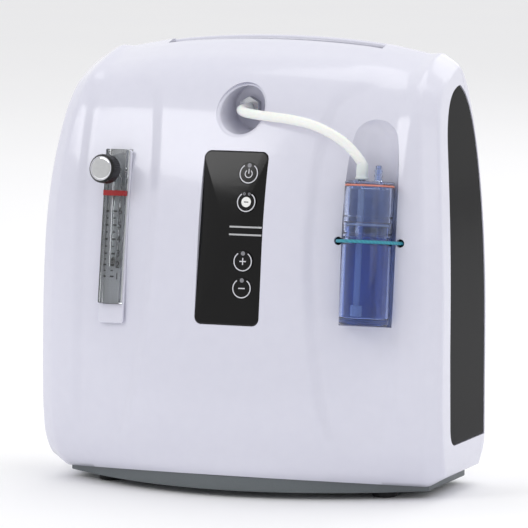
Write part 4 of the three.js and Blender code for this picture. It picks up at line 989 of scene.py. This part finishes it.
scaleMarks = {"numbers": {6: 201.5, 5: 191.5, 4: 181.4, 3: 171.1, 2: 163.0, 1: 154.7},
              "ink": 0.12, "numberHeight": 5.0, "numberX": 6.5, "longHalf": 0.6, "shortHalf": 0.45,
              "left": (-5.6, -2.9), "right": (0.6, 3.8),
              "shortLeft": (-5.0, -3.2), "shortRight": (0.9, 3.0)}


def localHeight(z):
    # height up the meter's own axis of a place at height z on its front face
    return (z - meterFrame[2, 3] - front * meterFrame[2, 1]) / meterFrame[2, 2]


def tick(a, b, height, half):
    return flatBox(a, b, height - half, height + half, front - scaleMarks["ink"], front + 0.05)


ticks = []
heights = [localHeight(z) for z in scaleMarks["numbers"].values()]
for i, h in enumerate(heights):
    for a, b in (scaleMarks["left"], scaleMarks["right"]):
        ticks.append(tick(a, b, h, scaleMarks["longHalf"]))
    if i + 1 < len(heights):
        middle = (h + heights[i + 1]) / 2
        for a, b in (scaleMarks["shortLeft"], scaleMarks["shortRight"]):
            ticks.append(tick(a, b, middle, scaleMarks["shortHalf"]))
fit(joined("meter_scale_ticks", ticks), "housing", "black_plastic", "blackInk")


def printedNumber(text, size, x, z):
    # figure outline filled and thickened, laid flat on the block's front face
    curve = bpy.data.curves.new("figure", "FONT")
    curve.body, curve.size, curve.extrude = text, size / 0.7, 0.06
    curve.align_x, curve.align_y = "CENTER", "CENTER"
    holder = bpy.data.objects.new("figure", curve)
    bpy.context.scene.collection.objects.link(holder)
    bpy.context.view_layer.update()
    mesh = bpy.data.meshes.new_from_object(holder)
    flat = np.empty(len(mesh.vertices) * 3)
    mesh.vertices.foreach_get("co", flat)
    flat = flat.reshape(-1, 3)
    points = inFrame(np.c_[flat[:, 0] + x, front - 0.06 - flat[:, 2], flat[:, 1] + z], meterFrame)
    faces = [list(p.vertices) for p in mesh.polygons]
    bpy.data.objects.remove(holder)
    return points, faces


figures = [printedNumber(str(n), scaleMarks["numberHeight"], scaleMarks["numberX"], height)
           for n, height in zip(scaleMarks["numbers"], heights)]
fit(joined("meter_scale_figures", figures), "housing", "black_plastic", "blackInk")
bandZ = localHeight(214.6)
halfBlock = meter["blockWidth"] / 2
redBand = [flatBox(-halfBlock - 0.12, halfBlock + 0.12, bandZ - 1.9, bandZ + 1.9, front - 0.12, front + 4)]
fit(joined("meter_red_band", redBand), "housing", "knob_black", "redInk")
floatTurn = moved(meterFrame, 0, meter["boreY"], -22)
floatProfile = rounded([[0, 0], [1.6, 0.3], [2.9, 2.6], [2.9, 5], [1.4, 7], [0, 7]], 0.6, 4)
floatBody = turned("float_body", floatProfile, 48, floatTurn)
fit(floatBody, "flow_float", "knob_black", "mouldedPhenolic", "flow_float")

knobTurn = moved(meterFrame, 0, knobBack, valveZ) @ turnX(90)
knobR, knobL = meter["knobRadius"], meter["knobLength"]
ribs = 40
angle = np.linspace(0, 2 * np.pi, ribs * 6, endpoint=False)
hubEnd = 1.2 - meter["knobGap"]
profile = rounded([[2.7, hubEnd], [5, hubEnd], [5, 0], [knobR - 1.2, 0], [knobR, 1.2],
                   [knobR, knobL - 1.4], [knobR - 1.3, knobL], [8.9, knobL], [8.9, knobL - 0.9],
                   [2.7, knobL - 0.9]], 0.5, 3, True)
radii = profile[:, 0][:, None] + 0.12 * np.cos(ribs * angle) * (profile[:, 0][:, None] > knobR - 0.3)
grid = np.stack([radii * np.cos(angle), radii * np.sin(angle), profile[:, 1][:, None] + 0 * angle], -1)
knob = facingOut(makeObject("meter_knob", inFrame(grid.reshape(-1, 3), knobTurn),
                            gridFaces(len(profile), len(angle), True, True)))
shade(knob, 40)
fit(knob, "flow_knob", "knob_black", "mouldedPhenolic", "flow_knob")
ringProfile = rounded([[8.15, knobL - 0.8], [8.85, knobL - 0.8], [8.85, knobL + 0.02],
                       [8.15, knobL + 0.02]], 0.2, 3, True)
ringBody = turned("knob_white_ring", ringProfile, 96, knobTurn)
fit(ringBody, "flow_knob", "white_shell", "whiteScreenInk")
discProfile = rounded([[0, knobL - 0.85], [8.1, knobL - 0.85], [8.1, knobL - 0.25],
                       [6.5, knobL - 0.1], [0, knobL - 0.05]], 0.3, 3)
discBody = turned("knob_mirror_disc", discProfile, 96, knobTurn)
fit(discBody, "flow_knob", "nickel", "polishedChrome", "knob_disc")
print("flow meter made")

# humidifier bottle: moulded cup, screw cap, lid with two spouts
cupLow, cupHigh = -bottleHalf, -bottleHalf + bottle["cupHeight"]
neckTop, neckR = cupHigh + 8, bottle["radius"] - 1.7
inside, floor = bottle["radius"] - bottle["wall"], 5
R = bottle["radius"]
cupProfile = rounded([[0, cupLow + 0.6], [R - 4, cupLow + 0.6], [R - 4.5, cupLow], [R - 1.5, cupLow],
                      [R, cupLow + 1.5], [R, cupHigh - 0.1], [neckR, cupHigh - 0.1], [neckR, neckTop],
                      [neckR - 2, neckTop], [neckR - 2, cupHigh - 3], [inside, cupHigh - 5],
                      [inside, cupLow + floor], [0, cupLow + floor - 1.2]], 0.7, 4)
cup = turned("bottle_cup", cupProfile, 120, bottleFrame)
fit(cup, "humidifier_cup", "blue_clear", "blueCupPolycarbonate", "humidifier_cup")
lidPlate = bottleHalf - 2.2
capTop, shoulder = lidPlate - 1.8, neckTop + 2.6
capProfile = rounded([[neckR + 0.35, cupHigh + 0.3], [R, cupHigh + 0.3], [R, cupHigh + 1.6],
                      [R - 0.35, cupHigh + 2.0], [R - 0.35, cupHigh + 2.6], [R, cupHigh + 3.0],
                      [R, shoulder + 3], [R - 0.3, shoulder + 3.4], [R - 0.3, shoulder + 4],
                      [R, shoulder + 4.4], [R, capTop], [inside - 0.8, capTop],
                      [inside - 0.8, shoulder], [neckR + 0.35, shoulder]], 0.35, 3, True)
cap = turned("bottle_cap", capProfile, 120, bottleFrame)
fit(cap, "humidifier_top", "blue_clear", "blueCapPolycarbonate", "humidifier_cap")
lidProfile = rounded([[0, capTop - 2], [inside - 1.2, capTop - 2], [inside - 1.2, lidPlate], [R, lidPlate],
                      [R, bottleHalf - 0.6], [R - 0.6, bottleHalf], [0, bottleHalf]], 0.3, 3)
lid = turned("bottle_lid", lidProfile, 120, bottleFrame)
spoutPlaces = [moved(bottleFrame, side * bottle["spoutGap"], 0, bottleHalf) for side in (-1, 1)]
spoutProfile = [[1.4, 0.5], [3.3, 0.0], [2.7, 0.8], [2.5, 3], [3.2, 3.7], [3.2, 4.3], [2.5, 5.0],
                [2.5, 6.6], [3.1, 7.4], [3.0, 8.0], [2.3, 8.8], [2.0, 11.3], [1.4, 11.5]]
spoutBodies = [turned("spout", rounded(spoutProfile, 0.4, 3, True), 48, place) for place in spoutPlaces]
combine(lid, spoutBodies, "UNION")
boreCuts = [turned("boreCut", [[0, -9], [1.4, -9], [1.4, 13], [0, 13]], 32, place) for place in spoutPlaces]
dipFrame = moved(bottleFrame, -bottle["spoutGap"], 0, 0)
socketProfile = [[0, capTop - 3], [2.95, capTop - 3], [2.95, lidPlate], [0, lidPlate]]
boreCuts.append(turned("socket", socketProfile, 32, dipFrame))
combine(lid, boreCuts)
drop(spoutBodies + boreCuts)
shade(lid, 38)
fit(lid, "humidifier_top", "blue_clear", "blueCapPolycarbonate", "humidifier_lid")
sealProfile = rounded([[inside - 0.6, capTop + 0.25], [R - 0.25, capTop + 0.25], [R - 0.1, capTop + 0.9],
                       [R - 0.25, lidPlate - 0.25], [inside - 0.6, lidPlate - 0.25]], 0.3, 3, True)
seal = turned("lid_seal_ring", sealProfile, 120, bottleFrame)
fit(seal, "humidifier_top", "seal_coral", "coralSilicone", "lid_seal")
cupSealProfile = rounded([[neckR - 1.9, neckTop + 0.25], [neckR - 0.2, neckTop + 0.25],
                          [neckR - 0.2, neckTop + 1.7], [neckR - 1.9, neckTop + 1.7]], 0.4, 3, True)
cupSeal = turned("cup_seal_ring", cupSealProfile, 96, bottleFrame)
fit(cupSeal, "humidifier_top", "milky_tube", "cloudyPolyethylene", "cup_seal")
diffuserLow = cupLow + floor + 1
diffuserHigh = diffuserLow + 8
dipProfile = rounded([[1.4, diffuserHigh - 3], [2.3, diffuserHigh - 3], [2.3, lidPlate - 0.3],
                      [1.4, lidPlate - 0.3]], 0.2, 2, True)
dip = turned("dip_tube_drawn", dipProfile, 40, dipFrame)
fit(dip, "humidifier_top", "milky_tube", "cloudyPolyethylene", "dip_tube")
stoneProfile = rounded([[0, diffuserLow], [4.2, diffuserLow], [4.2, diffuserHigh], [2.6, diffuserHigh],
                        [2.6, diffuserHigh - 3.3], [0, diffuserHigh - 3.3]], 0.6, 3)
diffuser = turned("bubble_stone", stoneProfile, 48, dipFrame)
fit(diffuser, "humidifier_top", "sintered", "sinteredPlastic", "bubble_diffuser")

# silicone hose from the port to the left spout, and the elastic round the bottle
hose = {"radius": 3.5, "cuff": 4.4}


def toSpout(z):
    return inFrame([[-bottle["spoutGap"], 0, z]], bottleFrame)[0]


hexFront = port["floorY"] - 6.6
hoseRoute = [[-4, hexFront, 276], [-4, -36, 276], [-3, -46, 275.6], [3, -54, 274.6], [18, -60, 273.3],
             [40.6, -65, 271.8], [59.1, -67.5, 268.7], [73.4, -69, 263.6], [84.4, -69, 257.2],
             [92.4, -68, 249.5], toSpout(62.75), toSpout(60.5)]
cuffProfile = rounded([[3.3, 52.25], [hose["cuff"] + 0.3, 52.25], [hose["cuff"] + 0.35, 53.6],
                       [hose["cuff"] - 0.1, 54.4], [hose["cuff"] - 0.15, 62.2], [hose["cuff"] - 0.6, 64.1],
                       [3.3, 64.15]], 0.5, 4, True)
points, faces = tube(hoseRoute, hose["radius"], 40, 260)
hosePiece = joined("outlet_hose_tube", [(points, faces)], 60)
cuff = turned("cuff", cuffProfile, 64, moved(bottleFrame, -bottle["spoutGap"], 0, 0))
fit(hosePiece, None, "silicone_ivory", "extrudedSilicone", "outlet_hose")
fit(cuff, "humidifier_top", "silicone_ivory", "extrudedSilicone")
cuff.name = "hose_cuff"


def place(x, y, z):
    return (x * mm, (y + yShift) * mm, z * mm)


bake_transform(hosePiece)
strapR, half = bottle["strapRadius"], bottle["strapHalf"]
reach = R + strapR + 0.4
turn = np.radians(-147 + np.arange(0, 13) * 128 / 12)
strapRoute = np.vstack([[[-half - 4.5, 12], [-half - 0.7, 4], [-half, 0], [-half + 1.6, -4.5]],
                        np.c_[reach * np.cos(turn), reach * np.sin(turn)],
                        [[half - 1.2, -1], [half, 5], [half + 0.7, 9], [half + 4.5, 16]]])
strapRoute = np.c_[strapRoute, np.zeros(len(strapRoute))]
bodies = [tube(strapRoute, strapR, 24, 240, strapFrame)]
strap = joined("bottle_elastic", bodies, 60)
fit(strap, None, "elastic_teal", "braidedElastic", "bottle_strap")
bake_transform(strap)
for side, (x, y) in ((-1, (-half - 4.5, 12)), (1, (half + 4.5, 16))):
    stop = turned("elastic_stop_" + ("left" if side < 0 else "right"),
                  rounded([[0, 0], [3.6, 0], [3.6, 5], [0, 5]], 1.2, 4), 40,
                  moved(strapFrame, x, y, 0) @ turnX(-90))
    fit(stop, "housing", "black_rubber", "mouldedRubber")
print("bottle, hose and elastic made")

# carrying bar: at each station across, a closed section that follows the top skin from a rounded
# front edge back to its level underside
bar = {"half": 95.7, "front": 26.3, "low": 303.3, "round": 3.5, "stations": 90}
barLoops = []
for x in np.linspace(-bar["half"], bar["half"], bar["stations"]):
    t = np.linspace(0.5, 0.86, 400)
    line = skin(np.full(400, x / halfWidth(316)), t, 0.15)
    line = line[(line[:, 1] > bar["front"] + bar["round"]) & (line[:, 2] > bar["low"] + 1.5)]
    line = line[np.linspace(0, len(line) - 1, 30).astype(int)]
    start = line[0]
    bend = np.linspace(0, np.pi / 2, 8, endpoint=False)
    corner = np.c_[np.full(8, x), bar["front"] + bar["round"] * (1 - np.cos(bend)),
                   start[2] - bar["round"] * (1 - np.sin(bend))]
    under = [(line[-1][1] - 0.3, 0.4), (line[-1][1] - 0.9, 0), (bar["front"] + 1, 0),
             (bar["front"] + 0.3, 0.3), (bar["front"], 1)]
    foot = np.array([[x, y, bar["low"] + up] for y, up in under])
    barLoops.append(np.vstack([corner, line, foot]))
carryBar = facingOut(makeObject("carrying_bar", *capped(barLoops)))
shade(carryBar, 45)
fit(carryBar, "housing", "white_shell", "mouldedGlossAbs", "carry_handle")

# feet, base, grip and the back
for name, (x, y) in footPlaces.items():
    profile = rounded([[0, 0.5], [5.5, 0.5], [6.2, 0], [8, 0], [9, 1], [9, 4.7], [3, 4.7], [3, 9.6],
                       [0, 9.6]], 0.5, 4)
    foot = turned(name + "_rubber", profile, 64, basis([1, 0, 0], [0, 1, 0], [0, 0, 1], [x, y, 0]))
    fit(foot, "housing", "black_rubber", "mouldedRubber", name)
fit(rearShell, "housing", "white_shell", "mouldedGlossAbs", "rear_cover")
fit(baseBand, "housing", "grey_base", "sparkedGreyBase", "base_tray")
for node, body, slot in (("finger_well", "housing", "shade_shell"),
                         ("filter_cover", "filter_door", "white_shell")):
    fit(alignedCopy(node, node + "_moulded"), body, slot, "mouldedSatinAbs", node)

# carried-over solids, by what each is made of
nodeFinish = {
    "greenSolderMask": ["key_board", "power_board"],
    "platedNickel": ["outlet_fitting"],
    "groundSteel": ["flow_valve_stem", "motor_shaft"],
    "mouldedRubber": ["isolator_1", "isolator_2", "isolator_3", "isolator_4"],
    "zincPlatedSteel": ["compressor_plate"],
    "powderCoatedSteel": ["compressor_motor"],
    "sandCastAluminium": ["crankcase_left", "crankcase_right", "cylinder_head_left",
                          "cylinder_head_right"],
    "glassFilledNylon": ["compressor_fan", "cooling_fan_frame", "cooling_fan_rotor", "solenoid_valve",
                         "exhaust_muffler", "mains_inlet", "switch_frame", "power_rocker"],
    "drawnCopper": ["cooling_coil"],
    "drawnAluminium": ["sieve_bed_front", "sieve_bed_rear"],
    "anodisedValveBlue": ["valve_manifold"],
    "blowMouldedTank": ["oxygen_tank"],
    "openCellFoam": ["intake_filter"],
}
for material, names in nodeFinish.items():
    for name in names:
        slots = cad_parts[name].data.materials
        slots.clear()
        slots.append(materials[material])
print("all finishes laid on")


# plain stage, camera and soft studio light
stage = {"turn": 21.63, "rise": 6.544, "distance": 3526, "lens": 326.45, "aim": (-3.49, 157.96),
         "floor": "#FCFCFD"}


def makeStage():
    world = bpy.data.worlds.new("studio")
    bpy.context.scene.world = world
    world.use_nodes = True
    tree = world.node_tree
    tree.nodes["Background"].inputs["Color"].default_value = (1, 1, 1, 1)
    coords = addNode(tree, "ShaderNodeTexCoord")
    parts = addNode(tree, "ShaderNodeSeparateXYZ", [(coords.outputs["Generated"], "Vector")])
    soft = addNode(tree, "ShaderNodeMapRange", [(parts.outputs["Y"], "Value")],
                   {"From Min": -0.9, "From Max": 0.5, "To Min": 0.55, "To Max": 1.0})
    tree.links.new(soft.outputs["Result"], tree.nodes["Background"].inputs["Strength"])
    floorSize = 6
    points = np.array([[-floorSize, -floorSize, 0], [floorSize, -floorSize, 0], [floorSize, floorSize, 0],
                       [-floorSize, floorSize, 0]])
    floorPiece = makeObject("studio_floor", points / mm - [0, yShift, 0], [[0, 1, 2, 3]])
    floorPiece.data.materials.append(finish("mattePaperFloor", stage["floor"], "#FAFAFC", 300, 0.9, 0.0))
    turn, rise = math.radians(stage["turn"]), math.radians(stage["rise"])
    back = Vector((math.sin(turn) * math.cos(rise), -math.cos(turn) * math.cos(rise), math.sin(rise)))
    right = Vector((math.cos(turn), math.sin(turn), 0))
    up = back.cross(right)
    aim = right * stage["aim"][0] + up * stage["aim"][1] + Vector((0, yShift, 0))
    place = (aim + back * stage["distance"]) * mm
    camera = bpy.data.objects.new("studio_camera", bpy.data.cameras.new("studio_camera"))
    camera.data.lens, camera.data.sensor_width = stage["lens"], 36
    camera.data.clip_end = 30
    camera.matrix_world = Matrix(((right.x, up.x, back.x, place.x), (right.y, up.y, back.y, place.y),
                                  (right.z, up.z, back.z, place.z), (0, 0, 0, 1)))
    bpy.context.scene.collection.objects.link(camera)
    bpy.context.scene.camera = camera
    for name, spot, size, power in [("key_light", (-1.5, -2.2, 1.9), 1.3, 17),
                                    ("fill_light", (2.2, -1.6, 1.2), 1.6, 5),
                                    ("top_light", (0.2, 0.4, 2.6), 1.8, 12), ("rear_light", (0.6, 2.6, 1.8),
                                            1.8, 10)]:
        lamp = bpy.data.lights.new(name, "AREA")
        lamp.shape, lamp.size, lamp.energy = "SQUARE", size, power
        light = bpy.data.objects.new(name, lamp)
        light.location = spot
        light.rotation_euler = (Vector((0, 0.02, 0.16)) - Vector(spot)).to_track_quat("-Z", "Y").to_euler()
        bpy.context.scene.collection.objects.link(light)
    bpy.context.scene.view_settings.view_transform = "Standard"


makeStage()
